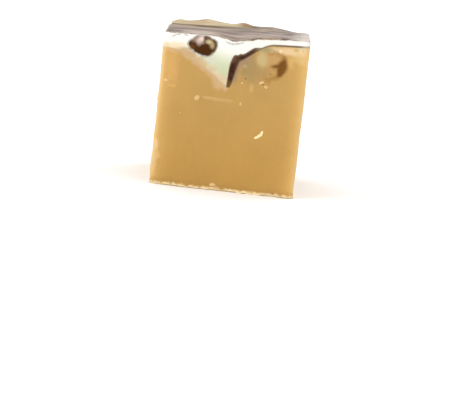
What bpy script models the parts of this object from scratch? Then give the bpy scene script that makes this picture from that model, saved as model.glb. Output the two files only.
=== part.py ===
"""One cut cube of swirled fudge, at its real size in metres, +Z up, standing on its base.

The fudge was poured in layers, swirled with a blade and then cut: a thick caramel body, a pale
vanilla layer that was dragged down into it as a deep trough, and a chocolate skin on top, which
rolls down into the vanilla as a dark eye. All three run through the cube, so each is a solid of
its own. They share one plan of grid lines, so that the faces on both sides of a seam are split
alike and keep the same small gap everywhere.
"""

import math

import bmesh
import bpy
from mathutils import Vector, noise

MM = 0.001

# The cube: the front is the cut face at -Y. Its top rises towards +X, less so at the back.
WIDTH = 42 * MM
DEPTH = 42 * MM
HEIGHT = 45.3 * MM
TOP_RISE_FRONT = 1.9 * MM
TOP_RISE_BACK = 0.9 * MM

# The grid of the layers, seen from above. Its lines crowd at the walls, the trough and the eye.
LINES_ACROSS = 32
LINES_DEEP = 20
CROWD_WIDTH = 2.4 * MM
CROWD_SAMPLES = 800
WALL_CROWD = 1.3
TROUGH_CROWD = 1.6
EYE_CROWD = 1.2
BODY_ROWS = 9
ROW_CROWD = 1.6
LAYER_ROWS = 2
SEAM_GAP = 0.3 * MM

# The upright edges, and the rim all round the top, most worn at the front right corner.
EDGE_RADIUS = 1.3 * MM
TOP_RIM = 1.1 * MM
TOP_RIM_DROP = 0.4 * MM
TOP_RIM_ROUGH = 0.25 * MM
TOP_RIM_ROUGH_LENGTH = 3.2 * MM
CORNER_WEAR = 0.7 * MM
CORNER_WEAR_WIDTH = 2.6 * MM

# The top surface: it sank where the trough was dragged in, and the blade left low ridges along X.
TOP_SINK = 1.3 * MM
TOP_SINK_X = -0.4 * MM
TOP_SINK_WIDTH = 4.6 * MM
TOP_SINK_REACH = 9 * MM
TOP_RIDGE = 0.22 * MM
TOP_RIDGE_LENGTH = 7.5 * MM
TOP_RIDGE_SWAY = 2 * MM
TOP_WAVE = 0.3 * MM
TOP_WAVE_LENGTH = 11 * MM

# The back edge of the top bulges up left of the middle and falls away at its right corner.
TOP_SWELLS = (
    {"x": -10.5 * MM, "y": 20 * MM, "rise": 0.9 * MM, "width": 6 * MM},
    {"x": 21 * MM, "y": 21 * MM, "rise": -0.9 * MM, "width": 9 * MM},
)

# The trough: how deep the topping goes there, below the top, and where its bottom line runs. It is
# at its back depth from TROUGH_FADE of the cube's depth on. Its left side is a long slope, and its
# right side a steep wall under a shoulder. The starts and widths there count from the bottom line.
TROUGH_X_FRONT = -1.4 * MM
TROUGH_X_BACK = 6.5 * MM
TROUGH_SWAY = 1.3 * MM
TROUGH_DEPTH_FRONT = 13.8 * MM
TROUGH_DEPTH_BACK = 8.5 * MM
TROUGH_FADE = 0.5
TROUGH_LEFT_SLOPE = 0.64
TROUGH_TIP_RADIUS = 0.8 * MM
TROUGH_BLEND = 2.2 * MM
STEEP_START = 0.4 * MM
STEEP_WIDTH = 2.6 * MM
SHOULDER_SHARE = 0.36
SHOULDER_START = 1.0 * MM
SHOULDER_WIDTH = 11 * MM

# How deep the topping is away from the trough, and how much that wanders from COVER_WAVE_START of
# the cube's depth on.
COVER_LEFT = 4.6 * MM
COVER_RIGHT = 2.2 * MM
COVER_BACK = 5.2 * MM
COVER_WAVE = 0.9 * MM
COVER_WAVE_LENGTH = 8 * MM
COVER_WAVE_START = 0.6

# Two smaller dips, dragged in from the left and the right wall.
SIDE_DIPS = (
    {"side": -1, "y": 5 * MM, "depth": 5.5 * MM, "width": 4.6 * MM, "reach": 13 * MM},
    {"side": 1, "y": -3 * MM, "depth": 4.0 * MM, "width": 3.6 * MM, "reach": 11 * MM},
)

# The chocolate skin: thin along the front, thicker to the right and the back. Its growth is a
# share from 0 to 1, which rises by these shares from the front to the back and from left to right.
SKIN_FRONT = 0.6 * MM
SKIN_BACK = 2.9 * MM
SKIN_GROWTH_BACK = 0.75
SKIN_GROWTH_RIGHT = 0.3
SKIN_GROWTH_START = 0.15
SKIN_WAVE = 0.45 * MM
SKIN_WAVE_LEAST = 0.2
SKIN_WAVE_LENGTH = 6 * MM
SKIN_BLEND = 0.3 * MM
VANILLA_LEAST = 0.7 * MM

# The eye: where the skin rolls down into the vanilla at the front.
EYE_X = -9.65 * MM
EYE_HALF_WIDTH = 4.7 * MM
EYE_DEPTH = 6.5 * MM
EYE_LEAN = 0.05
EYE_REACH = 8 * MM

# The walls: uneven from the knife, with upright drag marks, and a ragged lip round the base.
WALL_WAVE = 0.28 * MM
WALL_WAVE_LENGTH = 17 * MM
DRAG = 0.07 * MM
DRAG_LENGTH = 2.6 * MM
DRAG_STRETCH = 0.12
WALL_GRIP = 5 * MM
LIP_OUT = 0.4 * MM
LIP_HEIGHT = 1.4 * MM
LIP_NOTCH = 1.0 * MM
LIP_NOTCH_LENGTH = 3.4 * MM
LIP_CORNER = 4 * MM
ON_THE_BASE = 0.001 * MM

# The larger notches in the front lip: where each is across the front, how high and how wide.
FRONT_NOTCHES = (
    {"x": -20 * MM, "rise": 0.8 * MM, "width": 5 * MM},
    {"x": -1 * MM, "rise": 0.4 * MM, "width": 2.5 * MM},
    {"x": 14.1 * MM, "rise": 1.3 * MM, "width": 1.5 * MM},
    {"x": 21 * MM, "rise": 1.2 * MM, "width": 1.6 * MM},
)

# The chip broken off the front left edge, low down.
CHIP_MIDDLE = 7 * MM
CHIP_HALF_HEIGHT = 7 * MM
CHIP_DEPTH = 0.6 * MM
CHIP_WIDTH = 2.4 * MM

# Each wandering surface reads its own sheet of the noise, so that no two look alike.
TOP_SHEET, RIM_SHEET, COVER_SHEET, SKIN_SHEET, LIP_SHEET, NOTCH_SHEET = (0.5 + 3 * n for n in range(6))


def smooth(t):
    """0 below 0, 1 above 1, and an even rise between them."""
    t = min(1.0, max(0.0, t))
    return t * t * (3 - 2 * t)


def bump(distance, width):
    """1 at no distance, fading to nothing by about twice the width."""
    return math.exp(-((distance / width) ** 2))


def larger(a, b, blend):
    """The larger of two values, with the corner between them rounded off."""
    lift = max(0.0, blend - abs(a - b)) / blend
    return max(a, b) + lift * lift * blend / 4


def wander(x, y, length, sheet):
    """A smooth random value between about -1 and 1, which changes over the given length."""
    return noise.noise(Vector((x / length, y / length, sheet)))


def across(x):
    """How far a place is from the left wall towards the right wall, from 0 to 1."""
    return (x + WIDTH / 2) / WIDTH


def inward(y):
    """How far a place is from the front wall towards the back wall, from 0 to 1."""
    return (y + DEPTH / 2) / DEPTH


def to_wall(x, y):
    """How far a place is from the nearest wall."""
    return min(WIDTH / 2 - abs(x), DEPTH / 2 - abs(y))


def trough_shift(y):
    """How far the trough's bottom line has wandered to the right at this depth into the cube."""
    sway = TROUGH_SWAY * math.sin(math.pi * 2 * inward(y))
    return (TROUGH_X_BACK - TROUGH_X_FRONT) * smooth(inward(y)) + sway


def top_height(x, y):
    """The cube's top surface."""
    rise = TOP_RISE_FRONT + (TOP_RISE_BACK - TOP_RISE_FRONT) * inward(y)
    height = HEIGHT + rise * (across(x) - 0.5)
    height -= TOP_SINK * bump(x - TOP_SINK_X, TOP_SINK_WIDTH) * bump(y + DEPTH / 2, TOP_SINK_REACH)
    sway = TOP_RIDGE_SWAY * math.sin(math.pi * 2 * across(x))
    height += TOP_RIDGE * math.sin(math.pi * 2 * (y + sway) / TOP_RIDGE_LENGTH)
    height += TOP_WAVE * wander(x, y, TOP_WAVE_LENGTH, TOP_SHEET)
    for swell in TOP_SWELLS:
        height += swell["rise"] * bump(math.hypot(x - swell["x"], y - swell["y"]), swell["width"])
    to_corner = math.hypot(x - WIDTH / 2, y + DEPTH / 2)
    return height - CORNER_WEAR * bump(to_corner, CORNER_WEAR_WIDTH)


def trough_depth(off_line, deepest, left, right):
    """The trough's section: how deep the topping is at a distance to the right of its bottom line."""
    if off_line < 0:
        run = math.hypot(off_line, TROUGH_TIP_RADIUS) - TROUGH_TIP_RADIUS
        return larger(left, deepest - TROUGH_LEFT_SLOPE * run, TROUGH_BLEND)
    shoulder = SHOULDER_SHARE * (deepest - right)
    steep = deepest - right - shoulder
    past_steep = smooth((off_line - STEEP_START) / STEEP_WIDTH)
    past_shoulder = smooth((off_line - SHOULDER_START) / SHOULDER_WIDTH)
    return deepest - steep * past_steep - shoulder * past_shoulder


def cover(x, y):
    """How deep the topping reaches below the top surface."""
    far_in = smooth(inward(y))
    fade = smooth(inward(y) / TROUGH_FADE)
    deepest = TROUGH_DEPTH_FRONT + (TROUGH_DEPTH_BACK - TROUGH_DEPTH_FRONT) * fade
    left = COVER_LEFT + (COVER_BACK - COVER_LEFT) * far_in
    right = COVER_RIGHT + (COVER_BACK - COVER_RIGHT) * far_in
    depth = trough_depth(x - TROUGH_X_FRONT - trough_shift(y), deepest, left, right)
    for dip in SIDE_DIPS:
        from_wall = WIDTH / 2 - dip["side"] * x
        depth += dip["depth"] * bump(y - dip["y"], dip["width"]) * bump(from_wall, dip["reach"])
    wave = wander(x, y, COVER_WAVE_LENGTH, COVER_SHEET) * smooth(inward(y) / COVER_WAVE_START)
    return depth + COVER_WAVE * wave


def eye_depth(x, y):
    """How deep the eye reaches below the top surface. It leans a little to the right."""
    from_eye = (x - EYE_X) / EYE_HALF_WIDTH
    if abs(from_eye) >= 1:
        return 0.0
    section = math.sqrt(1 - from_eye * from_eye) * (1 + EYE_LEAN * from_eye)
    return EYE_DEPTH * section * bump(y + DEPTH / 2, EYE_REACH)


def skin_depth(x, y):
    """How thick the chocolate skin is."""
    growth = smooth(SKIN_GROWTH_BACK * inward(y) + SKIN_GROWTH_RIGHT * across(x) - SKIN_GROWTH_START)
    depth = SKIN_FRONT + (SKIN_BACK - SKIN_FRONT) * growth
    depth += SKIN_WAVE * wander(x, y, SKIN_WAVE_LENGTH, SKIN_SHEET) * (SKIN_WAVE_LEAST + growth)
    depth = larger(depth, eye_depth(x, y), SKIN_BLEND)
    return min(depth, cover(x, y) - 2 * SEAM_GAP - VANILLA_LEAST)


def caramel_top(x, y):
    """The seam between the caramel and the vanilla, on the caramel's side."""
    return top_height(x, y) - cover(x, y)


def vanilla_bottom(x, y):
    """The same seam on the vanilla's side."""
    return caramel_top(x, y) + SEAM_GAP


def vanilla_top(x, y):
    """The seam between the vanilla and the chocolate skin, on the vanilla's side."""
    return top_height(x, y) - skin_depth(x, y) - SEAM_GAP


def skin_bottom(x, y):
    """The same seam on the skin's side."""
    return top_height(x, y) - skin_depth(x, y)


def skin_top(x, y):
    """The top surface, worn down along its rim."""
    at_rim = max(0.0, 1 - to_wall(x, y) / TOP_RIM) ** 2
    rough = TOP_RIM_ROUGH * wander(x, y, TOP_RIM_ROUGH_LENGTH, RIM_SHEET)
    return top_height(x, y) - at_rim * (TOP_RIM_DROP + rough)


def crowded_lines(length, count, crowds):
    """Places from -length / 2 to length / 2, closer together round each crowd's place."""
    places = [length * (i / CROWD_SAMPLES - 0.5) for i in range(CROWD_SAMPLES + 1)]
    reach = [0.0]
    for place in places[1:]:
        density = 1 + sum(strength * bump(place - middle, CROWD_WIDTH) for middle, strength in crowds)
        reach.append(reach[-1] + density)
    lines = []
    sample = 0
    for line in range(count + 1):
        while sample < CROWD_SAMPLES and reach[sample] < reach[-1] * line / count:
            sample += 1
        lines.append(places[sample])
    return lines


def rounded_corner(x, y):
    """Draws the square corner of the plan in to an arc of EDGE_RADIUS."""
    over_x = abs(x) - (WIDTH / 2 - EDGE_RADIUS)
    over_y = abs(y) - (DEPTH / 2 - EDGE_RADIUS)
    if over_x <= 0 or over_y <= 0:
        return x, y
    pull = max(over_x, over_y) / math.hypot(over_x, over_y)
    new_x = WIDTH / 2 - EDGE_RADIUS + over_x * pull
    new_y = DEPTH / 2 - EDGE_RADIUS + over_y * pull
    return math.copysign(new_x, x), math.copysign(new_y, y)


def wall_relief(x, y, z):
    """How far the wall stands out here, before the chip is taken off."""
    relief = WALL_WAVE * noise.noise(Vector((x, y, z)) / WALL_WAVE_LENGTH)
    relief += DRAG * noise.noise(Vector((x, y, z * DRAG_STRETCH)) / DRAG_LENGTH)
    ragged = 0.5 + 0.5 * wander(x, y, LIP_NOTCH_LENGTH, LIP_SHEET)
    return relief + LIP_OUT * ragged * smooth(1 - z / LIP_HEIGHT)


def chip_depth(x, y, z):
    """How deep the chip in the front left edge is here."""
    to_edge = math.hypot(x + WIDTH / 2, y + DEPTH / 2)
    along = smooth(1 - abs(z - CHIP_MIDDLE) / CHIP_HALF_HEIGHT)
    return CHIP_DEPTH * along * bump(to_edge, CHIP_WIDTH)


def shaped(x, y, z):
    """A place in the plain block, moved to where it is in the cut cube."""
    grip_x = smooth(1 - (WIDTH / 2 - abs(x)) / WALL_GRIP)
    grip_y = smooth(1 - (DEPTH / 2 - abs(y)) / WALL_GRIP)
    relief = wall_relief(x, y, z)
    chip = chip_depth(x, y, z) * math.sqrt(0.5)
    plan_x, plan_y = rounded_corner(x, y)
    plan_x += math.copysign(grip_x * relief, x) + chip
    plan_y += math.copysign(grip_y * relief, y) + chip
    return plan_x, plan_y, z


def lip_notch(x, y):
    """How far the ragged lip round the base is broken away above the table."""
    notch = LIP_NOTCH * max(0.0, wander(x, y, LIP_NOTCH_LENGTH, NOTCH_SHEET))
    notch += LIP_NOTCH / 2 * smooth(1 - (WIDTH - abs(x) - abs(y)) / LIP_CORNER)
    at_front = smooth(1 - inward(y) * DEPTH / EDGE_RADIUS)
    return notch + at_front * sum(n["rise"] * bump(x - n["x"], n["width"]) for n in FRONT_NOTCHES)


def plan_grid():
    """A flat grid of triangles in the block's plan, whose lines follow the trough."""
    mesh = bmesh.new()
    bmesh.ops.create_grid(mesh, x_segments=LINES_ACROSS, y_segments=LINES_DEEP, size=1)
    walls = ((-WIDTH / 2, WALL_CROWD), (WIDTH / 2, WALL_CROWD))
    steep_middle = TROUGH_X_FRONT + STEEP_START + STEEP_WIDTH / 2
    features = ((steep_middle, TROUGH_CROWD), (EYE_X, EYE_CROWD))
    lines_x = crowded_lines(WIDTH, LINES_ACROSS, walls + features)
    lines_y = crowded_lines(DEPTH, LINES_DEEP, walls)
    for vertex in mesh.verts:
        x = lines_x[round((vertex.co.x + 1) / 2 * LINES_ACROSS)]
        y = lines_y[round((vertex.co.y + 1) / 2 * LINES_DEEP)]
        follow = 1 - (x / (WIDTH / 2)) ** 2
        vertex.co = (x + trough_shift(y) * follow, y, 0)
    bmesh.ops.triangulate(mesh, faces=mesh.faces, quad_method="FIXED")
    return mesh


def layer_mesh(lower, upper, rows):
    """A layer between two height functions: the plan's grid, extruded, with rows up its walls.

    The rows crowd towards the lower edge.
    """
    mesh = plan_grid()
    extruded = bmesh.ops.extrude_face_region(mesh, geom=mesh.faces[:])["geom"]
    top = {part for part in extruded if isinstance(part, bmesh.types.BMVert)}
    walls = [edge for edge in mesh.edges if (edge.verts[0] in top) != (edge.verts[1] in top)]
    for vertex in mesh.verts:
        vertex.co.z = 1.0 if vertex in top else 0.0
    bmesh.ops.subdivide_edges(mesh, edges=walls, cuts=rows - 1, use_grid_fill=False)
    for vertex in mesh.verts:
        x, y, share = vertex.co
        low, high = lower(x, y), upper(x, y)
        vertex.co = shaped(x, y, low + (high - low) * share**ROW_CROWD)
    bmesh.ops.recalc_face_normals(mesh, faces=mesh.faces)
    return mesh


def flatten_base(mesh):
    """Makes the caramel's underside one flat face, inside a ragged lip that is a little higher."""
    under = {face for face in mesh.faces if all(abs(vertex.co.z) < ON_THE_BASE for vertex in face.verts)}
    rim = {vertex for face in under for vertex in face.verts if not under.issuperset(vertex.link_faces)}
    inner = [face for face in under if rim.isdisjoint(face.verts)]
    for vertex in rim:
        vertex.co.z = lip_notch(vertex.co.x, vertex.co.y)
    bmesh.ops.dissolve_faces(mesh, faces=inner)


def food_material(name, colour, roughness):
    """A plain waxy food surface."""
    material = bpy.data.materials.new(name)
    material.use_nodes = True
    shader = material.node_tree.nodes["Principled BSDF"]
    shader.inputs["Base Color"].default_value = (*colour, 1)
    shader.inputs["Roughness"].default_value = roughness
    shader.inputs["Metallic"].default_value = 0
    return material


def caramel_body():
    """The thick caramel layer, with the base that the cube stands on."""
    mesh = layer_mesh(lambda x, y: 0.0, caramel_top, BODY_ROWS)
    flatten_base(mesh)
    return mesh, food_material("caramel fudge", (0.55, 0.31, 0.10), 0.5)


def vanilla_swirl():
    """The pale layer, with the trough that was dragged down into the caramel."""
    mesh = layer_mesh(vanilla_bottom, vanilla_top, LAYER_ROWS)
    return mesh, food_material("vanilla fudge", (0.86, 0.78, 0.60), 0.5)


def chocolate_skin():
    """The dark layer on top, with the eye that rolls down into the vanilla."""
    mesh = layer_mesh(skin_bottom, skin_top, LAYER_ROWS)
    return mesh, food_material("chocolate fudge", (0.07, 0.03, 0.015), 0.38)


def add_layer(collection, name, mesh, material):
    """Puts a finished layer in the scene as one named object."""
    data = bpy.data.meshes.new(name)
    mesh.to_mesh(data)
    mesh.free()
    data.materials.append(material)
    obj = bpy.data.objects.new(name, data)
    collection.objects.link(obj)
    return obj


def centre_on_base(objects):
    """Moves the whole cube so that the middle of its box stands on the origin."""
    corners = [vertex.co for obj in objects for vertex in obj.data.vertices]
    middle_x = (min(c.x for c in corners) + max(c.x for c in corners)) / 2
    middle_y = (min(c.y for c in corners) + max(c.y for c in corners)) / 2
    for obj in objects:
        for vertex in obj.data.vertices:
            vertex.co -= Vector((middle_x, middle_y, 0))


def build_fudge():
    """Clears the scene and builds the three layers."""
    for old in list(bpy.data.objects):
        bpy.data.objects.remove(old, do_unlink=True)
    collection = bpy.data.collections.new("fudge")
    bpy.context.scene.collection.children.link(collection)
    makers = (caramel_body, vanilla_swirl, chocolate_skin)
    centre_on_base([add_layer(collection, maker.__name__, *maker()) for maker in makers])


build_fudge()
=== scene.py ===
# %% [markdown]
# # A cube of swirled fudge
# This lesson dresses one cut cube of fudge: a thick caramel body, a pale vanilla layer that a blade
# dragged down into it, a dark fold beside that trough, and a chocolate skin on top. The imported model
# comes first, as a fixed frame: every piece made here takes its place from it, and its sizes are the model's.

# %% Load the frame
import math
import random

import bmesh
import bpy
from mathutils import Matrix, Vector, noise


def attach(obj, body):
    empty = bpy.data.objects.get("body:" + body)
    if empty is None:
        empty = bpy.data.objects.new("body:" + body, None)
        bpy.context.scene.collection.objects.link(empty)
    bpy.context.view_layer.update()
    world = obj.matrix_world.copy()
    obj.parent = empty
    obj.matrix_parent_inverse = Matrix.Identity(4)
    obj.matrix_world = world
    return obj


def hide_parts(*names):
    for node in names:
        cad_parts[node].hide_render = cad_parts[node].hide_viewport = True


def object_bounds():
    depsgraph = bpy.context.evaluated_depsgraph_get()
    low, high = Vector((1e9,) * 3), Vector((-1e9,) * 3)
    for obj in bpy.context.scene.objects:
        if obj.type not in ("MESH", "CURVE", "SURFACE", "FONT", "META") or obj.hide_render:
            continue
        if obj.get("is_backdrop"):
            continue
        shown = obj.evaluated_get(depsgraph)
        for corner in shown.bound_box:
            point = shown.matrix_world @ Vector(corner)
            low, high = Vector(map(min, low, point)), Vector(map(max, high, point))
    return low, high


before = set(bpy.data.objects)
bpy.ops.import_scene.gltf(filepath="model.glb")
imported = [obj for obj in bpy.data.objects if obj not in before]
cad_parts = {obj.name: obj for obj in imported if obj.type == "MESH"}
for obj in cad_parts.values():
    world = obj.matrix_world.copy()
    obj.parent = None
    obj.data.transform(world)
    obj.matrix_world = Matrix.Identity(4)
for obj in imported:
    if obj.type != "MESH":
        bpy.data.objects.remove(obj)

MM = 0.001
CAD_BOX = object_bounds()
print("CAD box in mm:", [[round(value / MM, 2) for value in corner] for corner in CAD_BOX])

# %% [markdown]
# ## The camera
# The photograph was taken with a long lens from about half a metre, looking slightly down, and the
# cube leans to the right in it. The cube could be tilted too, but the model stands level on its
# base. So the camera is rolled by that angle instead, and the picture comes out the same.

# %% Camera
LENS = 153.2
SENSOR_WIDTH = 36
NEAR, BEYOND = 0.01, 20
CAMERA_PLACE = Vector((6.1, -570.8, 89.6)) * MM
HEADING = math.radians(-0.47)
LOOK_DOWN = math.radians(9.5)
ROLL = math.radians(6.4)


def in_scene(name, data):
    """Makes an object from its data and puts it in the scene."""
    obj = bpy.data.objects.new(name, data)
    bpy.context.scene.collection.objects.link(obj)
    return obj


camera_data = bpy.data.cameras.new("camera")
camera_data.lens = LENS
camera_data.sensor_width = SENSOR_WIDTH
camera_data.clip_start = NEAR
camera_data.clip_end = BEYOND
camera = in_scene("camera", camera_data)
turn = Matrix.Rotation(-HEADING, 4, "Z") @ Matrix.Rotation(math.pi / 2 - LOOK_DOWN, 4, "X")
camera.matrix_world = Matrix.Translation(CAMERA_PLACE) @ turn @ Matrix.Rotation(ROLL, 4, "Z")
bpy.context.scene.camera = camera
print("Camera at", [round(value / MM) for value in CAMERA_PLACE], "mm with a", LENS, "mm lens")

# %% [markdown]
# ## Light
# The photograph is high key: white all round, with soft light from every side. A white world does
# most of that. Two large soft lamps add a little direction, so that pits and crumbs stand out. The
# Standard view keeps the whites white, where the usual filmic view would turn them grey.

# %% World and lamps
WORLD_STRENGTH = 1.06
LAMPS = (
    {"name": "left_lamp", "place": (-0.55, -0.45, 0.5), "size": 0.4, "power": 2.2},
    {"name": "back_lamp", "place": (0.5, 0.55, 0.6), "size": 0.5, "power": 2.0},
)

bpy.context.scene.view_settings.view_transform = "Standard"
world = bpy.data.worlds.new("white studio")
world.use_nodes = True
world.node_tree.nodes["Background"].inputs["Color"].default_value = (1, 1, 1, 1)
world.node_tree.nodes["Background"].inputs["Strength"].default_value = WORLD_STRENGTH
bpy.context.scene.world = world

for lamp in LAMPS:
    data = bpy.data.lights.new(lamp["name"], "AREA")
    data.shape = "DISK"
    data.size = lamp["size"]
    data.energy = lamp["power"]
    obj = in_scene(lamp["name"], data)
    obj.location = lamp["place"]
    obj.rotation_euler = (-Vector(lamp["place"])).to_track_quat("-Z", "Y").to_euler()
print("Lamps:", [lamp["name"] for lamp in LAMPS])

# %% [markdown]
# ## Floor
# The floor is one large dull sheet, just bright enough to show as white, with a soft shadow under
# the cube. It is scenery, so it is marked as a backdrop, and the model's box leaves it out.

# %% Floor
FLOOR_SIZE = 12.0
FLOOR_WHITE = 0.96
FLOOR_ROUGHNESS = 0.9

floor_mesh = bmesh.new()
bmesh.ops.create_grid(floor_mesh, x_segments=1, y_segments=1, size=FLOOR_SIZE / 2)
floor_data = bpy.data.meshes.new("floor")
floor_mesh.to_mesh(floor_data)
floor_mesh.free()
floor = in_scene("floor", floor_data)
floor_material = bpy.data.materials.new("pale floor")
floor_material.use_nodes = True
floor_shader = floor_material.node_tree.nodes["Principled BSDF"]
floor_shader.inputs["Base Color"].default_value = (FLOOR_WHITE, FLOOR_WHITE, FLOOR_WHITE, 1)
floor_shader.inputs["Roughness"].default_value = FLOOR_ROUGHNESS
floor_shader.inputs["Specular IOR Level"].default_value = 0.0
floor_data.materials.append(floor_material)
floor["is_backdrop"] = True
print("Floor of", FLOOR_SIZE, "m")

# %% [markdown]
# ## The cube's form
# Fudge is poured in layers and cut, so its form is a stack of soft surfaces inside four flat walls.
# It could be sculpted, but then neighbours would gape. Here heights describe it: for each place seen
# from above, a function says where a surface lies, and two layers that share such a function meet
# without a gap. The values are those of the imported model. A few small curves do all the work.
# Random relief is read from one field of noise, on sheets so far apart that none repeats another.

# %% Small curves
WIDTH = 42 * MM
DEPTH = 42 * MM
TOP_SHEET, RIM_SHEET, COVER_SHEET, SKIN_SHEET, LIP_SHEET, NOTCH_SHEET = (0.5 + 3 * n for n in range(6))


def smooth(t):
    """0 below 0, 1 above 1, and an even rise between them."""
    t = min(1.0, max(0.0, t))
    return t * t * (3 - 2 * t)


def between(start, end, share):
    """start at a share of 0, end at a share of 1."""
    return start + (end - start) * share


def bump(distance, width):
    """1 at no distance, fading to nothing by about twice the width."""
    return math.exp(-((distance / width) ** 2))


def larger(a, b, blend):
    """The larger of two values, with the corner between them rounded off."""
    lift = max(0.0, blend - abs(a - b)) / blend
    return max(a, b) + lift * lift * blend / 4


def wander(x, y, length, sheet):
    """A smooth random value between about -1 and 1, which changes over the given length."""
    return noise.noise(Vector((x / length, y / length, sheet)))


def across(x):
    """How far a place is from the left wall towards the right wall, from 0 to 1."""
    return (x + WIDTH / 2) / WIDTH


def inward(y):
    """How far a place is from the front wall towards the back wall, from 0 to 1."""
    return (y + DEPTH / 2) / DEPTH


def to_wall(x, y):
    """How far a place is from the nearest wall."""
    return min(WIDTH / 2 - abs(x), DEPTH / 2 - abs(y))


print("A bump at 0, 1 and 2 widths:", [round(bump(widths, 1), 2) for widths in range(3)])

# %% [markdown]
# ## The top
# The top rises to the right, sinks where the blade went in at the front, and is combed in shallow
# ridges. Round humps and hollows, each with its place, rise and width, add what is left. It is a
# sum of plain curves, where a sculpted surface would do too, because each can be changed alone.

# %% Top surface
HEIGHT = 45.3 * MM
TOP_RISE_FRONT = 1.9 * MM
TOP_RISE_BACK = 0.9 * MM
TOP_SINK = 1.3 * MM
TOP_SINK_X = -0.4 * MM
TOP_SINK_WIDTH = 4.6 * MM
TOP_SINK_REACH = 9 * MM
TOP_RIDGE = 0.22 * MM
TOP_RIDGE_LENGTH = 7.5 * MM
TOP_RIDGE_SWAY = 2 * MM
TOP_WAVE = 0.3 * MM
TOP_WAVE_LENGTH = 11 * MM
TOP_SWELLS = (
    {"x": -10.5 * MM, "y": 20 * MM, "rise": 0.9 * MM, "width": 6 * MM},
    {"x": 21 * MM, "y": 21 * MM, "rise": -0.9 * MM, "width": 9 * MM},
)


def swells(x, y, humps):
    """What some round humps add to a height here. A hump with a rise below 0 is a hollow."""
    return sum(hump["rise"] * bump(math.hypot(x - hump["x"], y - hump["y"]), hump["width"]) for hump in humps)


def top_height(x, y):
    """The cube's top surface."""
    height = HEIGHT + between(TOP_RISE_FRONT, TOP_RISE_BACK, inward(y)) * (across(x) - 0.5)
    height -= TOP_SINK * bump(x - TOP_SINK_X, TOP_SINK_WIDTH) * bump(y + DEPTH / 2, TOP_SINK_REACH)
    sway = TOP_RIDGE_SWAY * math.sin(math.tau * across(x))
    height += TOP_RIDGE * math.sin(math.tau * (y + sway) / TOP_RIDGE_LENGTH)
    height += TOP_WAVE * wander(x, y, TOP_WAVE_LENGTH, TOP_SHEET)
    return height + swells(x, y, TOP_SWELLS)


print("Top at the front, left, middle and right, in mm:",
      [round(top_height(x * MM, -DEPTH / 2) / MM, 1) for x in (-20, 0, 20)])

# %% [markdown]
# ## The trough
# The blade left a trough that is deepest at the front: a long slope on its left, and a steep wall
# under a shoulder on its right. Further in it wanders to the right. A sweep of one outline along a
# curve would give a trough of even depth, so its line and its section are two functions instead.

# %% The trough's line and section
TROUGH_X_FRONT = -1.4 * MM
TROUGH_X_BACK = 6.5 * MM
TROUGH_SWAY = 1.3 * MM
TROUGH_LEFT_SLOPE = 0.64
TROUGH_TIP_RADIUS = 0.8 * MM
TROUGH_BLEND = 2.2 * MM
STEEP_START = 0.4 * MM
STEEP_WIDTH = 2.6 * MM
SHOULDER_SHARE = 0.36
SHOULDER_START = 1.0 * MM
SHOULDER_WIDTH = 11 * MM


def trough_shift(y):
    """How far the trough's bottom line has wandered to the right at this depth into the cube."""
    sway = TROUGH_SWAY * math.sin(math.tau * inward(y))
    return (TROUGH_X_BACK - TROUGH_X_FRONT) * smooth(inward(y)) + sway


def off_trough(x, y):
    """How far a place is to the right of the trough's bottom line."""
    return x - TROUGH_X_FRONT - trough_shift(y)


def trough_depth(off_line, deepest, left, right):
    """The trough's section: how deep the topping is at a distance to the right of its bottom line."""
    if off_line < 0:
        run = math.hypot(off_line, TROUGH_TIP_RADIUS) - TROUGH_TIP_RADIUS
        return larger(left, deepest - TROUGH_LEFT_SLOPE * run, TROUGH_BLEND)
    shoulder = SHOULDER_SHARE * (deepest - right)
    steep = deepest - right - shoulder
    past_steep = smooth((off_line - STEEP_START) / STEEP_WIDTH)
    past_shoulder = smooth((off_line - SHOULDER_START) / SHOULDER_WIDTH)
    return deepest - steep * past_steep - shoulder * past_shoulder


print("The trough's line at the back is", round(trough_shift(DEPTH / 2) / MM, 1), "mm further right")

# %% [markdown]
# ## Where the caramel ends
# On both sides of the trough the topping runs on as a layer, thin at the front and thicker at the
# back, and it dips once more at each side wall. Its depth below the top gives the caramel's top.

# %% The topping's depth
TROUGH_DEPTH_FRONT = 13.8 * MM
TROUGH_DEPTH_BACK = 8.5 * MM
TROUGH_FADE = 0.5
COVER_LEFT = 4.6 * MM
COVER_RIGHT = 2.2 * MM
COVER_BACK = 5.2 * MM
COVER_WAVE = 0.9 * MM
COVER_WAVE_LENGTH = 8 * MM
COVER_WAVE_START = 0.6
SIDE_DIPS = (
    {"side": -1, "y": 5 * MM, "depth": 5.5 * MM, "width": 4.6 * MM, "reach": 13 * MM},
    {"side": 1, "y": -3 * MM, "depth": 4.0 * MM, "width": 3.6 * MM, "reach": 11 * MM},
)


def cover(x, y):
    """How deep the topping reaches below the top surface."""
    far_in = smooth(inward(y))
    deepest = between(TROUGH_DEPTH_FRONT, TROUGH_DEPTH_BACK, smooth(inward(y) / TROUGH_FADE))
    left = between(COVER_LEFT, COVER_BACK, far_in)
    right = between(COVER_RIGHT, COVER_BACK, far_in)
    depth = trough_depth(off_trough(x, y), deepest, left, right)
    for dip in SIDE_DIPS:
        from_wall = WIDTH / 2 - dip["side"] * x
        depth += dip["depth"] * bump(y - dip["y"], dip["width"]) * bump(from_wall, dip["reach"])
    wave = wander(x, y, COVER_WAVE_LENGTH, COVER_SHEET) * smooth(inward(y) / COVER_WAVE_START)
    return depth + COVER_WAVE * wave


def caramel_top(x, y):
    """Where the caramel ends."""
    return top_height(x, y) - cover(x, y)


print("Trough's depth at the front:", round(cover(TROUGH_X_FRONT, -DEPTH / 2) / MM, 1), "mm")

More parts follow.
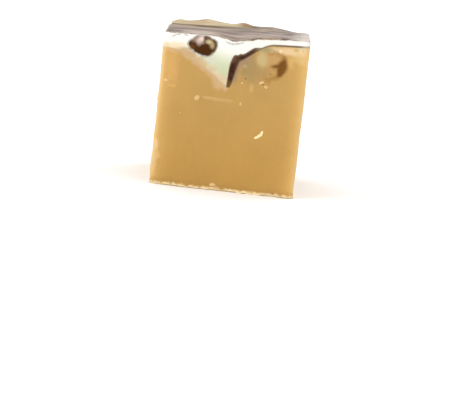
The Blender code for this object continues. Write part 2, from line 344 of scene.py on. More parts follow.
# %% [markdown]
# ## The dark fold
# The blade pushed some of the dark layer down with it. That chocolate lies on the trough's right
# side, thick at its lower end as a tail, then an even sheet, then a line up to the right edge. A
# thickness on top of the caramel gives all three, and the vanilla starts where it ends.

# %% The fold
FOLD_START = -0.4 * MM
FOLD_START_WIDTH = 0.35 * MM
FOLD_LINE = 0.5 * MM
FOLD_SHEET = 1.2 * MM
FOLD_SHEET_END = 6.2 * MM
FOLD_SHEET_TAPER = 2.6 * MM
FOLD_TAIL = 7.0 * MM
FOLD_TAIL_MIDDLE = 0.75 * MM
FOLD_TAIL_WIDTH = 1.3 * MM
FOLD_FADE = 0.6
FOLD_FADE_END = 0.7


def fold_depth(x, y):
    """How thick the dark fold is, measured upright. It starts just left of the trough's bottom line."""
    off_line = off_trough(x, y)
    tail = FOLD_TAIL * bump(off_line - FOLD_TAIL_MIDDLE, FOLD_TAIL_WIDTH)
    sheet = FOLD_SHEET * (1 - smooth((off_line - FOLD_SHEET_END) / FOLD_SHEET_TAPER))
    fading = 1 - FOLD_FADE * smooth(inward(y) / FOLD_FADE_END)
    return (FOLD_LINE + (tail + sheet) * fading) * smooth((off_line - FOLD_START) / FOLD_START_WIDTH)


def vanilla_bottom(x, y):
    """The vanilla's underside, on the caramel to the left and on the fold to the right."""
    return caramel_top(x, y) + fold_depth(x, y)


print("Fold's upright thickness at x of -1, 4 and 15 mm:",
      [round(fold_depth(x * MM, -DEPTH / 2) / MM, 1) for x in (-1, 4, 15)])

# %% [markdown]
# ## The chocolate skin and its eye
# The skin is thin at the front and thicker at the back, and worn away at the front right corner. On
# the left it rolls down into the vanilla: cut across, that roll shows as a round, dark eye. Half an
# ellipse hung under the skin gives the roll, and the larger of both depths joins them softly.

# %% The skin's underside
CORNER_WEAR = 0.7 * MM
CORNER_WEAR_WIDTH = 2.6 * MM
SKIN_FRONT = 0.6 * MM
SKIN_BACK = 2.9 * MM
SKIN_GROWTH_BACK = 0.75
SKIN_GROWTH_RIGHT = 0.3
SKIN_GROWTH_START = 0.15
SKIN_WAVE = 0.45 * MM
SKIN_WAVE_LEAST = 0.2
SKIN_WAVE_LENGTH = 6 * MM
SKIN_BLEND = 0.3 * MM
VANILLA_LEAST = 0.25 * MM
EYE_X = -9.65 * MM
EYE_HALF_WIDTH = 4.7 * MM
EYE_DEPTH = 6.5 * MM
EYE_LEAN = 0.05
EYE_REACH = 8 * MM


def corner_wear(x, y):
    """How much the skin is worn down at the front right corner."""
    return CORNER_WEAR * bump(math.hypot(x - WIDTH / 2, y + DEPTH / 2), CORNER_WEAR_WIDTH)


def eye_depth(x, y):
    """How deep the eye reaches below the top surface. It leans a little to the right."""
    from_eye = (x - EYE_X) / EYE_HALF_WIDTH
    if abs(from_eye) >= 1:
        return 0.0
    section = math.sqrt(1 - from_eye * from_eye) * (1 + EYE_LEAN * from_eye)
    return EYE_DEPTH * section * bump(y + DEPTH / 2, EYE_REACH)


def skin_bottom(x, y):
    """The seam between the vanilla and the chocolate skin."""
    growth = smooth(SKIN_GROWTH_BACK * inward(y) + SKIN_GROWTH_RIGHT * across(x) - SKIN_GROWTH_START)
    depth = between(SKIN_FRONT, SKIN_BACK, growth)
    depth += SKIN_WAVE * wander(x, y, SKIN_WAVE_LENGTH, SKIN_SHEET) * (SKIN_WAVE_LEAST + growth)
    depth = larger(depth, eye_depth(x, y), SKIN_BLEND) + corner_wear(x, y)
    return max(top_height(x, y) - depth, vanilla_bottom(x, y) + VANILLA_LEAST)


print("The eye reaches", round(eye_depth(EYE_X, -DEPTH / 2) / MM, 1), "mm below the top")

# %% [markdown]
# ## Relief of the cut walls
# A knife leaves walls that are nearly flat, with faint upright drag lines, fine grain and a few torn
# pits. Bump in the material could fake that, but the outline would stay ruler straight, so the walls
# really move. The drag lines are the same noise as the grain, with its height squeezed.

# %% Wall relief
WALL_WAVE = 0.28 * MM
WALL_WAVE_LENGTH = 17 * MM
DRAG = 0.07 * MM
DRAG_LENGTH = 2.6 * MM
DRAG_STRETCH = 0.12
FINE_DRAG = 0.025 * MM
FINE_DRAG_LENGTH = 0.7 * MM
GRAIN = 0.035 * MM
GRAIN_LENGTH = 1.3 * MM
PIT = 0.35 * MM
PIT_LENGTH = 2.1 * MM
PIT_RARITY = 0.5
LIP_OUT = 0.4 * MM
LIP_HEIGHT = 1.4 * MM
LIP_NOTCH_LENGTH = 3.4 * MM


def wall_relief(x, y, z):
    """How far the wall stands out here, before the edges are chipped."""
    place = Vector((x, y, z))
    upright = Vector((x, y, z * DRAG_STRETCH))
    relief = WALL_WAVE * noise.noise(place / WALL_WAVE_LENGTH)
    relief += DRAG * noise.noise(upright / DRAG_LENGTH)
    relief += FINE_DRAG * noise.noise(upright / FINE_DRAG_LENGTH)
    relief += GRAIN * noise.noise(place / GRAIN_LENGTH)
    relief -= PIT * max(0.0, noise.noise(place / PIT_LENGTH) - PIT_RARITY)
    ragged = 0.5 + 0.5 * wander(x, y, LIP_NOTCH_LENGTH, LIP_SHEET)
    return relief + LIP_OUT * ragged * smooth(1 - z / LIP_HEIGHT)


print("The middle of the front stands out by", round(wall_relief(0, -DEPTH / 2, HEIGHT / 2) / MM, 3), "mm")

# %% [markdown]
# ## Rounded and chipped edges
# The upright edges are slightly rounded, and crumbs have broken off them, most of all low on the
# front left edge. A bevel would round them evenly and add no chips. So one function moves each
# place of a plain block: its corner is drawn in to an arc, and the relief pushes it out or in.

# %% Edges
EDGE_RADIUS = 1.3 * MM
EDGE_CHIP = 0.9 * MM
EDGE_CHIP_LENGTH = 2.7 * MM
EDGE_CHIP_WIDTH = 0.9 * MM
EDGE_CHIP_RARITY = 0.15
CHIP_MIDDLE = 7 * MM
CHIP_HALF_HEIGHT = 7 * MM
CHIP_DEPTH = 0.6 * MM
CHIP_WIDTH = 2.4 * MM
WALL_GRIP = 5 * MM
ALONG_EACH_AXIS = math.sqrt(0.5)


def rounded_corner(x, y):
    """Draws the square corner of the plan in to an arc of EDGE_RADIUS."""
    over_x = abs(x) - (WIDTH / 2 - EDGE_RADIUS)
    over_y = abs(y) - (DEPTH / 2 - EDGE_RADIUS)
    if over_x <= 0 or over_y <= 0:
        return x, y
    pull = max(over_x, over_y) / math.hypot(over_x, over_y)
    new_x = WIDTH / 2 - EDGE_RADIUS + over_x * pull
    new_y = DEPTH / 2 - EDGE_RADIUS + over_y * pull
    return math.copysign(new_x, x), math.copysign(new_y, y)


def edge_chips(x, y, z):
    """How much is chipped off the upright edges here."""
    to_edge = math.hypot(WIDTH / 2 - abs(x), DEPTH / 2 - abs(y))
    torn = max(0.0, noise.noise(Vector((x, y, z)) / EDGE_CHIP_LENGTH) - EDGE_CHIP_RARITY)
    chips = EDGE_CHIP * torn * bump(to_edge, EDGE_CHIP_WIDTH)
    if x < 0 and y < 0:
        along = smooth(1 - abs(z - CHIP_MIDDLE) / CHIP_HALF_HEIGHT)
        chips += CHIP_DEPTH * along * bump(to_edge, CHIP_WIDTH)
    return chips


def shaped(x, y, z):
    """A place in the plain block, moved to where it is in the cut cube."""
    grip_x = smooth(1 - (WIDTH / 2 - abs(x)) / WALL_GRIP)
    grip_y = smooth(1 - (DEPTH / 2 - abs(y)) / WALL_GRIP)
    relief = wall_relief(x, y, z) - edge_chips(x, y, z) * ALONG_EACH_AXIS
    plan_x, plan_y = rounded_corner(x, y)
    return plan_x + math.copysign(grip_x * relief, x), plan_y + math.copysign(grip_y * relief, y), z


print("Chipped off the front left edge at z of 7 mm:",
      round(edge_chips(-WIDTH / 2, -DEPTH / 2, CHIP_MIDDLE) / MM, 2), "mm")

# %% [markdown]
# ## The lip at the base
# The slab was pressed down as it was cut, so the base has a ragged lip that doesn't quite reach the
# table everywhere. The underside is flat and rises at its rim in notches: random ones all round, and
# a few along the front at the places that the photograph shows.

# %% Lip
LIP_NOTCH = 1.0 * MM
LIP_TOOTH = 0.45 * MM
LIP_TOOTH_LENGTH = 0.9 * MM
LIP_CORNER = 4 * MM
LIP_INSET = 0.9 * MM
FRONT_NOTCHES = (
    {"x": -20 * MM, "rise": 0.8 * MM, "width": 5 * MM},
    {"x": -1 * MM, "rise": 0.4 * MM, "width": 2.5 * MM},
    {"x": 14.1 * MM, "rise": 1.3 * MM, "width": 1.5 * MM},
    {"x": 21 * MM, "rise": 1.2 * MM, "width": 1.6 * MM},
)


def lip_underside(x, y):
    """The height of the underside: flat, and broken away raggedly along its edge."""
    at_edge = smooth(1 - to_wall(x, y) / LIP_INSET)
    if at_edge == 0:
        return 0.0
    notch = LIP_NOTCH * max(0.0, wander(x, y, LIP_NOTCH_LENGTH, NOTCH_SHEET))
    notch += LIP_NOTCH / 2 * smooth(1 - (WIDTH - abs(x) - abs(y)) / LIP_CORNER)
    notch += LIP_TOOTH * max(0.0, wander(x, y, LIP_TOOTH_LENGTH, NOTCH_SHEET + 1))
    at_front = smooth(1 - inward(y) * DEPTH / EDGE_RADIUS)
    broken = sum(part["rise"] * bump(x - part["x"], part["width"]) for part in FRONT_NOTCHES)
    return at_edge * (notch + at_front * broken)


print("The lip clears the table at the front by, in mm:",
      [round(lip_underside(x * MM, -DEPTH / 2) / MM, 1) for x in (-20, -7, 0, 7, 14)])

# %% [markdown]
# ## The crumpled top
# Along its rim the skin is worn down and rough, and at the back it is crumpled up into low ridges,
# which give the cube its uneven upper outline. Noise would crumple it as well, but not where the
# photograph shows a ridge. So the ridges are humps again, each with its own place.

# %% Top of the skin
TOP_RIM = 1.1 * MM
TOP_RIM_DROP = 0.4 * MM
TOP_RIM_ROUGH = 0.25 * MM
TOP_RIM_ROUGH_LENGTH = 3.2 * MM
TOP_DRAG = 0.05 * MM
TOP_DRAG_LENGTH = 0.8 * MM
TOP_DRAG_STRETCH = 0.3
BACK_RIDGES = (
    {"x": -18.6 * MM, "y": 20.5 * MM, "rise": 0.6 * MM, "width": 1.6 * MM},
    {"x": -9.6 * MM, "y": 20.5 * MM, "rise": 0.5 * MM, "width": 2.4 * MM},
    {"x": -4.5 * MM, "y": 20.5 * MM, "rise": 0.4 * MM, "width": 3.0 * MM},
    {"x": 0.9 * MM, "y": 20.0 * MM, "rise": 1.1 * MM, "width": 2.6 * MM},
    {"x": 10.5 * MM, "y": 20.5 * MM, "rise": 0.65 * MM, "width": 4.6 * MM},
)


def skin_top(x, y):
    """The top surface, worn down along its rim and crumpled up at the back."""
    at_rim = max(0.0, 1 - to_wall(x, y) / TOP_RIM) ** 2
    rough = TOP_RIM_ROUGH * wander(x, y, TOP_RIM_ROUGH_LENGTH, RIM_SHEET)
    drag = TOP_DRAG * wander(x * TOP_DRAG_STRETCH, y, TOP_DRAG_LENGTH, RIM_SHEET)
    height = top_height(x, y) + swells(x, y, BACK_RIDGES) - corner_wear(x, y)
    return height + drag - at_rim * (TOP_RIM_DROP + rough)


print("The highest ridge at the back rises to", round(skin_top(0.9 * MM, 20 * MM) / MM, 1), "mm")

# %% [markdown]
# ## Strokes on the front
# Soft stains, such as the brown hook in the caramel and the dark rolled eye, have edges that a
# mesh can't show well, and a painted picture would be a file of its own. Their distance is measured
# at every vertex instead, in millimetres, and kept as an attribute. A shader then turns distance
# into colour, as sharp or as soft as it should be. A stroke is a list of places on the front with a
# half width at each, all in millimetres. The eye is one fat stroke.

# %% Strokes
HOOK = (
    ((14.0, 40.7, 0.3), (14.1, 39.6, 0.8), (13.8, 38.3, 1.4), (13.6, 37.2, 1.45), (13.3, 36.0, 0.9),
     (13.0, 35.3, 0.3)),
    ((12.6, 38.0, 0.9), (11.4, 37.8, 0.45), (10.3, 38.0, 0.0)),
)
HOOK_TAIL = (
    ((13.1, 35.6, 0.7), (11.8, 34.5, 0.6), (10.7, 34.1, 0.5), (9.7, 33.5, 0.4), (10.0, 32.7, 0.2)),
    ((9.8, 33.6, 0.3), (8.9, 34.2, 0.2)),
    ((9.6, 41.3, 0.1), (11.4, 41.9, 0.3), (13.2, 41.2, 0.4), (14.2, 40.2, 0.4)),
)
BAND_STREAKS = (
    ((-18.6, 43.2, 0.1), (-17.7, 43.8, 0.25), (-16.5, 44.2, 0.1)),
    ((-15.6, 44.0, 0.0), (-14.8, 44.2, 0.2), (-14.0, 43.9, 0.0)),
    ((-3.4, 43.6, 0.0), (-2.2, 43.1, 0.15), (-1.1, 42.9, 0.3), (0.4, 43.2, 0.15), (1.8, 43.6, 0.0)),
)
EYE = (
    ((-13.4, 41.8, 0.7), (-12.2, 41.7, 1.8), (-10.4, 41.8, 2.8), (-8.9, 41.5, 3.0), (-7.5, 41.8, 2.1),
     (-6.1, 42.1, 0.8)),
)
STROKES = {"hook": HOOK, "tail": HOOK_TAIL, "streak": BAND_STREAKS, "eye": EYE}
FRONT_DEEP = 1.0
FRONT_FADE = 2.0
FAR = 6.0


def stroke_distance(x, z, stroke):
    """The distance in mm from a place on the front to the border of a stroke of changing width."""
    nearest = FAR
    for (ax, az, a_half), (bx, bz, b_half) in zip(stroke, stroke[1:]):
        run_x, run_z = bx - ax, bz - az
        share = ((x - ax) * run_x + (z - az) * run_z) / (run_x * run_x + run_z * run_z)
        share = min(1.0, max(0.0, share))
        gap = math.hypot(x - ax - share * run_x, z - az - share * run_z)
        nearest = min(nearest, gap - a_half - share * (b_half - a_half))
    return nearest


def strokes_mark(strokes):
    """A function that measures the distance to the nearest of some strokes on the front."""
    def measure(x, y, z):
        nearest = min(stroke_distance(x / MM, z / MM, stroke) for stroke in strokes)
        behind_front = max(0.0, (y + DEPTH / 2) / MM - FRONT_DEEP) * FRONT_FADE
        return min(FAR, nearest + behind_front)
    return measure


print("Distance from the eye's middle to its border:",
      round(-strokes_mark(EYE)(EYE_X, -DEPTH / 2, 41.7 * MM), 1), "mm")

# %% [markdown]
# ## Distances to the seams
# Stains also follow the seams between the layers. These distances are measured square to the seam,
# so that a stain keeps its width on a steep stretch. Two more say how deep a place is below the top,
# and on which side of the trough it is.

# %% Distances to the seams
SLOPE_STEP = 0.15 * MM
FOLD_MARK_START = FOLD_START - 1.5 * MM
SIDE_FAR = 14.0
DEPTH_FAR = 20.0


def from_surface(height, x, y, z):
    """How far above a surface a place is, in mm, measured square to the surface."""
    on_side = WIDTH / 2 - abs(x) < DEPTH / 2 - abs(y)
    step_x, step_y = (0, SLOPE_STEP) if on_side else (SLOPE_STEP, 0)
    slope = (height(x + step_x, y + step_y) - height(x - step_x, y - step_y)) / (2 * SLOPE_STEP)
    distance = (z - height(x, y)) / MM / math.sqrt(1 + slope * slope)
    return max(-FAR, min(FAR, distance))


def seam_mark(x, y, z):
    """How far above the caramel's top seam a place is."""
    return from_surface(caramel_top, x, y, z)


def fold_mark(x, y, z):
    """How far above the dark fold's top a place is, where there is a fold."""
    if off_trough(x, y) < FOLD_MARK_START:
        return FAR
    return from_surface(vanilla_bottom, x, y, z)


def side_mark(x, y, z):
    """Below 0 to the left of the trough's bottom line and above 0 to its right, in mm."""
    return max(-SIDE_FAR, min(SIDE_FAR, off_trough(x, y) / MM))


def depth_mark(x, y, z):
    """How far below the top surface a place is."""
    return min(DEPTH_FAR, (top_height(x, y) - z) / MM)


WALL_MARKS = {"seam": seam_mark, "fold": fold_mark}
WALL_MARKS.update({name: strokes_mark(strokes) for name, strokes in STROKES.items()})
MARKS = {"side": side_mark, "depth": depth_mark, **WALL_MARKS}
print("Marks:", sorted(MARKS))

# %% [markdown]
# ## The grid
# Each layer starts as a flat grid seen from above, made by one operator. An even grid fine enough
# for the trough would be far too heavy, so its lines are moved: they crowd at the walls, the eye and
# the trough, where the form turns quickly, and follow the trough as it wanders. All layers use the
# same grid, so neighbours share every vertex along their seam.

# %% Plan grid
LINES_ACROSS = 120
LINES_DEEP = 96
CROWD_WIDTH = 2.4 * MM
CROWD_SAMPLES = 4000
WALL_CROWD = 2.2
TROUGH_CROWD = 1.8
EYE_CROWD = 0.8
FOLLOW_WIDTH = 4 * MM


def crowded_lines(length, count, crowds):
    """Places from -length / 2 to length / 2, closer together round each crowd's place."""
    places = [length * (i / CROWD_SAMPLES - 0.5) for i in range(CROWD_SAMPLES + 1)]
    reach = [0.0]
    for place in places[1:]:
        density = 1 + sum(strength * bump(place - middle, CROWD_WIDTH) for middle, strength in crowds)
        reach.append(reach[-1] + density)
    lines = []
    sample = 0
    for line in range(count + 1):
        while sample < CROWD_SAMPLES and reach[sample] < reach[-1] * line / count:
            sample += 1
        lines.append(places[sample])
    return lines


def plan_grid():
    """A flat grid in the block's plan, whose lines follow the trough."""
    mesh = bmesh.new()
    bmesh.ops.create_grid(mesh, x_segments=LINES_ACROSS, y_segments=LINES_DEEP, size=1)
    walls = ((-WIDTH / 2, WALL_CROWD), (WIDTH / 2, WALL_CROWD))
    features = ((TROUGH_X_FRONT + STEEP_WIDTH / 2, TROUGH_CROWD), (EYE_X, EYE_CROWD))
    lines_x = crowded_lines(WIDTH, LINES_ACROSS, walls + features)
    fold_edge = TROUGH_X_FRONT + FOLD_START
    nearest = min(range(len(lines_x)), key=lambda line: abs(lines_x[line] - fold_edge))
    lines_x[nearest] = fold_edge
    lines_y = crowded_lines(DEPTH, LINES_DEEP, walls)
    for vertex in mesh.verts:
        x = lines_x[round((vertex.co.x + 1) / 2 * LINES_ACROSS)]
        y = lines_y[round((vertex.co.y + 1) / 2 * LINES_DEEP)]
        follow = 1 - smooth((abs(x) - FOLLOW_WIDTH) / (WIDTH / 2 - FOLLOW_WIDTH))
        vertex.co = (x + trough_shift(y) * follow, y, 0)
    return mesh


print("Squares in the plan grid:", LINES_ACROSS * LINES_DEEP)

# %% [markdown]
# ## From a grid to a layer
# Extruding the grid gives the layer's other side and its walls, and subdividing the upright edges
# gives the walls their rows. Then every vertex is lifted to its height, its marks are measured, and
# it is moved to where the cut cube has it.

# %% One layer
MARKED_RIM = 1.5 * MM


def layer_mesh(lower, upper, rows, crowd=1.0, keep=None):
    """A layer between two height functions: the grid, extruded, with rows up its walls.

    A crowd above 1 draws the rows towards the lower edge. keep says which part of the plan stays.
    """
    mesh = plan_grid()
    if keep:
        cut = [face for face in mesh.faces if not keep(*face.calc_center_median().xy)]
        bmesh.ops.delete(mesh, geom=cut, context="FACES")
    extruded = bmesh.ops.extrude_face_region(mesh, geom=mesh.faces[:])["geom"]
    top = {part for part in extruded if isinstance(part, bmesh.types.BMVert)}
    walls = [edge for edge in mesh.edges if (edge.verts[0] in top) != (edge.verts[1] in top)]
    for vertex in mesh.verts:
        vertex.co.z = 1.0 if vertex in top else 0.0
    bmesh.ops.subdivide_edges(mesh, edges=walls, cuts=rows - 1, use_grid_fill=False)
    layers = {name: mesh.verts.layers.float.new(name) for name in MARKS}
    for vertex in mesh.verts:
        x, y, share = vertex.co
        z = between(lower(x, y), upper(x, y), share**crowd)
        at_wall = to_wall(x, y) < MARKED_RIM
        for name, mark in MARKS.items():
            vertex[layers[name]] = mark(x, y, z) if at_wall or name not in WALL_MARKS else FAR
        vertex.co = shaped(x, y, z)
    bmesh.ops.recalc_face_normals(mesh, faces=mesh.faces)
    return mesh


print("Marks kept at each vertex:", len(MARKS))

# %% [markdown]
# ## The four layers
# Each layer becomes one object, sharp only where its walls meet its seams, so that the smooth
# shading of a wall runs on over the seam into the next layer. The caramel's underside needs no grid,
# so its flat part is dissolved to one face. The fold has no thickness at its left end, so the
# vertices that meet there are merged.

# %% Make the layers
BODY_ROWS, FOLD_ROWS, VANILLA_ROWS, SKIN_ROWS = 84, 10, 26, 12
BODY_ROW_CROWD = 1.25
SEAM_ANGLE = math.radians(55)
TOUCHING = 1e-7


def piece_from(name, mesh):
    """Puts a finished mesh in the scene as one smooth object."""
    data = bpy.data.meshes.new(name)
    mesh.to_mesh(data)
    mesh.free()
    data.shade_smooth()
    data.set_sharp_from_angle(angle=SEAM_ANGLE)
    return in_scene(name, data)


def caramel_mesh():
    """The caramel, whose flat underside is one face inside the ragged lip."""
    mesh = layer_mesh(lip_underside, caramel_top, BODY_ROWS, BODY_ROW_CROWD)
    flat = [face for face in mesh.faces if all(abs(vertex.co.z) < TOUCHING for vertex in face.verts)]
    bmesh.ops.dissolve_faces(mesh, faces=flat)
    return mesh


def fold_mesh():
    """The dark fold, which ends in a thin edge just left of the trough's bottom line."""
    mesh = layer_mesh(caramel_top, vanilla_bottom, FOLD_ROWS, keep=lambda x, y: off_trough(x, y) > FOLD_START)
    bmesh.ops.remove_doubles(mesh, verts=mesh.verts, dist=TOUCHING)
    return mesh


caramel = piece_from("caramel", caramel_mesh())
dark_fold = piece_from("dark_fold", fold_mesh())
vanilla = piece_from("vanilla", layer_mesh(vanilla_bottom, skin_bottom, VANILLA_ROWS))
skin = piece_from("skin", layer_mesh(skin_bottom, skin_top, SKIN_ROWS))
LAYERS = (caramel, dark_fold, vanilla, skin)
for layer in LAYERS:
    print(layer.name, "has", sum(len(face.vertices) - 2 for face in layer.data.polygons), "triangles")

# %% [markdown]
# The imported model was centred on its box, so the layers are moved by the same rule: their common box
# is centred on the frame's box. The meshes move, and the objects stay at the origin, because the
# patterns of the materials are measured from there.

# %% Centre the layers
corners = [vertex.co for layer in LAYERS for vertex in layer.data.vertices]
SHIFT = Vector((0, 0, 0))
for axis in (0, 1):
    low = min(corner[axis] for corner in corners)
    high = max(corner[axis] for corner in corners)
    SHIFT[axis] = (CAD_BOX[0][axis] + CAD_BOX[1][axis] - low - high) / 2
for layer in LAYERS:
    layer.data.transform(Matrix.Translation(SHIFT))
print("Moved onto the frame by", [round(value / MM, 3) for value in SHIFT], "mm")

# %% [markdown]
# ## Helpers for nodes
# A material is a small network of nodes. These helpers add one node or one common step each, so
# that a material below reads from its colours to its shader. A socket takes either a plain value or
# another node's output, and feed() does whichever is given.

# %% Node helpers


def feed(tree, socket, value):
    """Links a socket to another node's output, or sets it to a plain value."""
    if isinstance(value, bpy.types.NodeSocket):
        tree.links.new(value, socket)
    else:
        socket.default_value = value


def put(tree, kind, inputs=None, **settings):
    """Adds a node. settings are its own options, inputs are values or sockets of other nodes."""
    node = tree.nodes.new(kind)
    for key, value in settings.items():
        setattr(node, key, value)
    for key, value in (inputs or {}).items():
        feed(tree, node.inputs[key], value)
    return node


def reckon(tree, operation, *values):
    """One step of arithmetic."""
    return put(tree, "ShaderNodeMath", dict(enumerate(values)), operation=operation).outputs[0]


def product(tree, *values):
    """Some values multiplied. For masks that is the part that they share."""
    total = values[0]
    for value in values[1:]:
        total = reckon(tree, "MULTIPLY", total, value)
    return total


def outside(tree, mask):
    """1 where a mask is 0, and 0 where it is 1."""
    return reckon(tree, "SUBTRACT", 1.0, mask)


def with_vectors(tree, operation, first, second=(0, 0, 0)):
    """One step of arithmetic with places. A length or a distance comes out as a number."""
    node = put(tree, "ShaderNodeVectorMath", {0: first}, operation=operation)
    feed(tree, node.inputs["Scale" if operation == "SCALE" else 1], second)
    gives_number = operation in ("LENGTH", "DISTANCE", "DOT_PRODUCT")
    return node.outputs["Value" if gives_number else "Vector"]


def eased(tree, value, start, end):
    """0 where value is at start, 1 where it is at end, and smooth between them."""
    limits = {"Value": value, "From Min": start, "From Max": end}
    return put(tree, "ShaderNodeMapRange", limits, interpolation_type="SMOOTHSTEP").outputs["Result"]


NODE_HELPERS = (feed, put, reckon, product, outside, with_vectors, eased)
print("Node helpers:", ", ".join(helper.__name__ for helper in NODE_HELPERS))

# %% [markdown]
# Most effects start from a place on the piece, from noise there, or from a mark that was measured at
# the vertices. Places are read as Object coordinates, which stay fixed to the piece.

# %% Places, noise and marks


def object_place(tree, stretch=(1, 1, 1)):
    """The place on the piece, stretched."""
    place = put(tree, "ShaderNodeTexCoord").outputs["Object"]
    return put(tree, "ShaderNodeMapping", {"Vector": place, "Scale": stretch}).outputs[0]


def place_along(tree, axis, place=None):
    """One coordinate of a place, in metres. Without a place it is that of the surface."""
    return put(tree, "ShaderNodeSeparateXYZ", {0: place or object_place(tree)}).outputs[axis]


def noise_value(tree, place, scale, detail=2.0, roughness=0.5):
    """Smooth noise from 0 to 1. scale is in spots per metre."""
    values = {"Vector": place, "Scale": scale, "Detail": detail, "Roughness": roughness}
    return put(tree, "ShaderNodeTexNoise", values).outputs["Fac"]


def mark(tree, name):
    """A distance in mm that was measured at the vertices."""
    return put(tree, "ShaderNodeAttribute", attribute_name=name).outputs["Fac"]


print("Marks that a material can read:", ", ".join(MARKS))

# %% [markdown]
# An effect that several materials use is built once, as a node group with named inputs and outputs,
# and then placed in each material with its own values.

# %% Group helpers


def new_group(name, numbers, outputs):
    """An empty shader node group with number inputs and their defaults, and typed outputs."""
    group = bpy.data.node_groups.new(name, "ShaderNodeTree")
    for label, value in numbers.items():
        socket = group.interface.new_socket(label, in_out="INPUT", socket_type="NodeSocketFloat")
        socket.default_value = value
    for label, kind in outputs.items():
        group.interface.new_socket(label, in_out="OUTPUT", socket_type=kind)
    return group, group.nodes.new("NodeGroupInput").outputs, group.nodes.new("NodeGroupOutput").inputs


def use(tree, group, **numbers):
    """Places a group in a material with its own values and returns its outputs."""
    inputs = {key.capitalize(): value for key, value in numbers.items()}
    return put(tree, "ShaderNodeGroup", inputs, node_tree=group).outputs


print("Group helpers:", ", ".join(helper.__name__ for helper in (new_group, use)))

# %% [markdown]
# ## The grain of fudge
# Set fudge is waxy, with fine pores, drag lines from the knife and a cloudy tone. All layers share
# that, so it is the first group. It gives out a height for the bump and a tone for the colour.

# %% Grain group
PORES_PER_METRE = 1400
FINE_PORES_PER_METRE = 5200
DRAG_LINES_PER_METRE = 1500
CLOUDS_PER_METRE = 110
FINE_SHARE = 0.35
CLOUD_TONE, LINE_TONE, PORE_TONE = 0.65, 0.15, 0.2

grain_group, given, result = new_group(
    "fudge grain", {"Pores": 1.0, "Drag": 1.0}, {"Height": "NodeSocketFloat", "Tone": "NodeSocketFloat"}
)
place = object_place(grain_group)
upright = object_place(grain_group, stretch=(1, 1, 0.1))
pores = noise_value(grain_group, place, PORES_PER_METRE, 3.0, 0.6)
fine = noise_value(grain_group, place, FINE_PORES_PER_METRE)
lines = noise_value(grain_group, upright, DRAG_LINES_PER_METRE)
cloud = noise_value(grain_group, place, CLOUDS_PER_METRE, 3.0, 0.55)
speckle = reckon(grain_group, "MULTIPLY_ADD", fine, FINE_SHARE, pores)
line_height = product(grain_group, lines, given["Drag"])
height = reckon(grain_group, "MULTIPLY_ADD", speckle, given["Pores"], line_height)
grain_group.links.new(height, result["Height"])
tone = product(grain_group, cloud, CLOUD_TONE)
tone = reckon(grain_group, "MULTIPLY_ADD", lines, LINE_TONE, tone)
tone = reckon(grain_group, "MULTIPLY_ADD", pores, PORE_TONE, tone)
grain_group.links.new(tone, result["Tone"])
print("Made the group", grain_group.name)

# %% [markdown]
# ## Stains
# The second group turns a measured distance into a stain whose border wanders a little. Softness is
# how far the border fades to each side, and wobble is how far it wanders, both in millimetres.

# %% Stain group
WOBBLE_SPAN = 3.0

stain_group, given, result = new_group(
    "stain", {"Distance": 0.0, "Softness": 0.3, "Wobble": 0.3, "Scale": 700.0}, {"Mask": "NodeSocketFloat"}
)
wobble = noise_value(stain_group, object_place(stain_group), given["Scale"], 3.0)
wobble = reckon(stain_group, "SUBTRACT", wobble, 0.5)
wobble = product(stain_group, wobble, given["Wobble"], WOBBLE_SPAN)
edge = reckon(stain_group, "ADD", given["Distance"], wobble)
inside = eased(stain_group, edge, given["Softness"], product(stain_group, given["Softness"], -1.0))
stain_group.links.new(inside, result["Mask"])


def stain(tree, distance, **border):
    """A stain's mask from a distance in mm. border gives its softness, wobble and scale."""
    return use(tree, stain_group, distance=distance, **border)["Mask"]


print("Made the group", stain_group.name)

# %% [markdown]
# ## Marbling
# Poured layers that a blade drags fold into long nested bands. Blender's wave texture gives bands
# too, but all alike. So the place is bent by a broad noise, its distance along one direction is
# counted with some variation, and that number is folded back and forth. Each material gives the
# folded value its own colours. The bending is a group by itself, because the top's swirl uses it.

# %% Bent place group
bent_group, given, result = new_group(
    "bent place", {"Warp": 10.0, "Scale": 45.0}, {"Place": "NodeSocketVector"}
)
place = object_place(bent_group)
bend = put(bent_group, "ShaderNodeTexNoise", {"Vector": place, "Scale": given["Scale"], "Detail": 2.5})
bend = with_vectors(bent_group, "SUBTRACT", bend.outputs["Color"], (0.5, 0.5, 0.5))
bend = with_vectors(bent_group, "SCALE", bend, product(bent_group, given["Warp"], MM))
bent_group.links.new(with_vectors(bent_group, "ADD", place, bend), result["Place"])
print("Made the group", bent_group.name)

# %% Marbling group
MARBLING_DIRECTION = (0.3, 1.0, 0.7)

marbling_group, given, result = new_group(
    "marbling",
    {"Scale": 110.0, "Warp": 14.0, "Bend": 45.0, "Start": 0.0, "Vary": 1.5},
    {"Value": "NodeSocketFloat"},
)
place = use(marbling_group, bent_group, warp=given["Warp"], scale=given["Bend"])["Place"]
along = with_vectors(marbling_group, "DOT_PRODUCT", place, MARBLING_DIRECTION)
vary = product(marbling_group, noise_value(marbling_group, place, given["Bend"]), given["Vary"])
count = reckon(marbling_group, "MULTIPLY_ADD", along, given["Scale"], vary)
count = reckon(marbling_group, "ADD", count, given["Start"])
folded = reckon(marbling_group, "PINGPONG", count, 0.5)
marbling_group.links.new(product(marbling_group, folded, 2.0), result["Value"])
print("Made the group", marbling_group.name)

# %% [markdown]
# ## Soft spots
# The last shared group is a soft spot: an oval patch for the small stains that are neither a stroke
# nor a border. Across and Up say where a place is on the wall or on the top, X and Z where the
# spot's middle is, and Wide and High are its half sizes, all in millimetres.

# %% Spot group
SPOT_NOISE_PER_METRE = 480

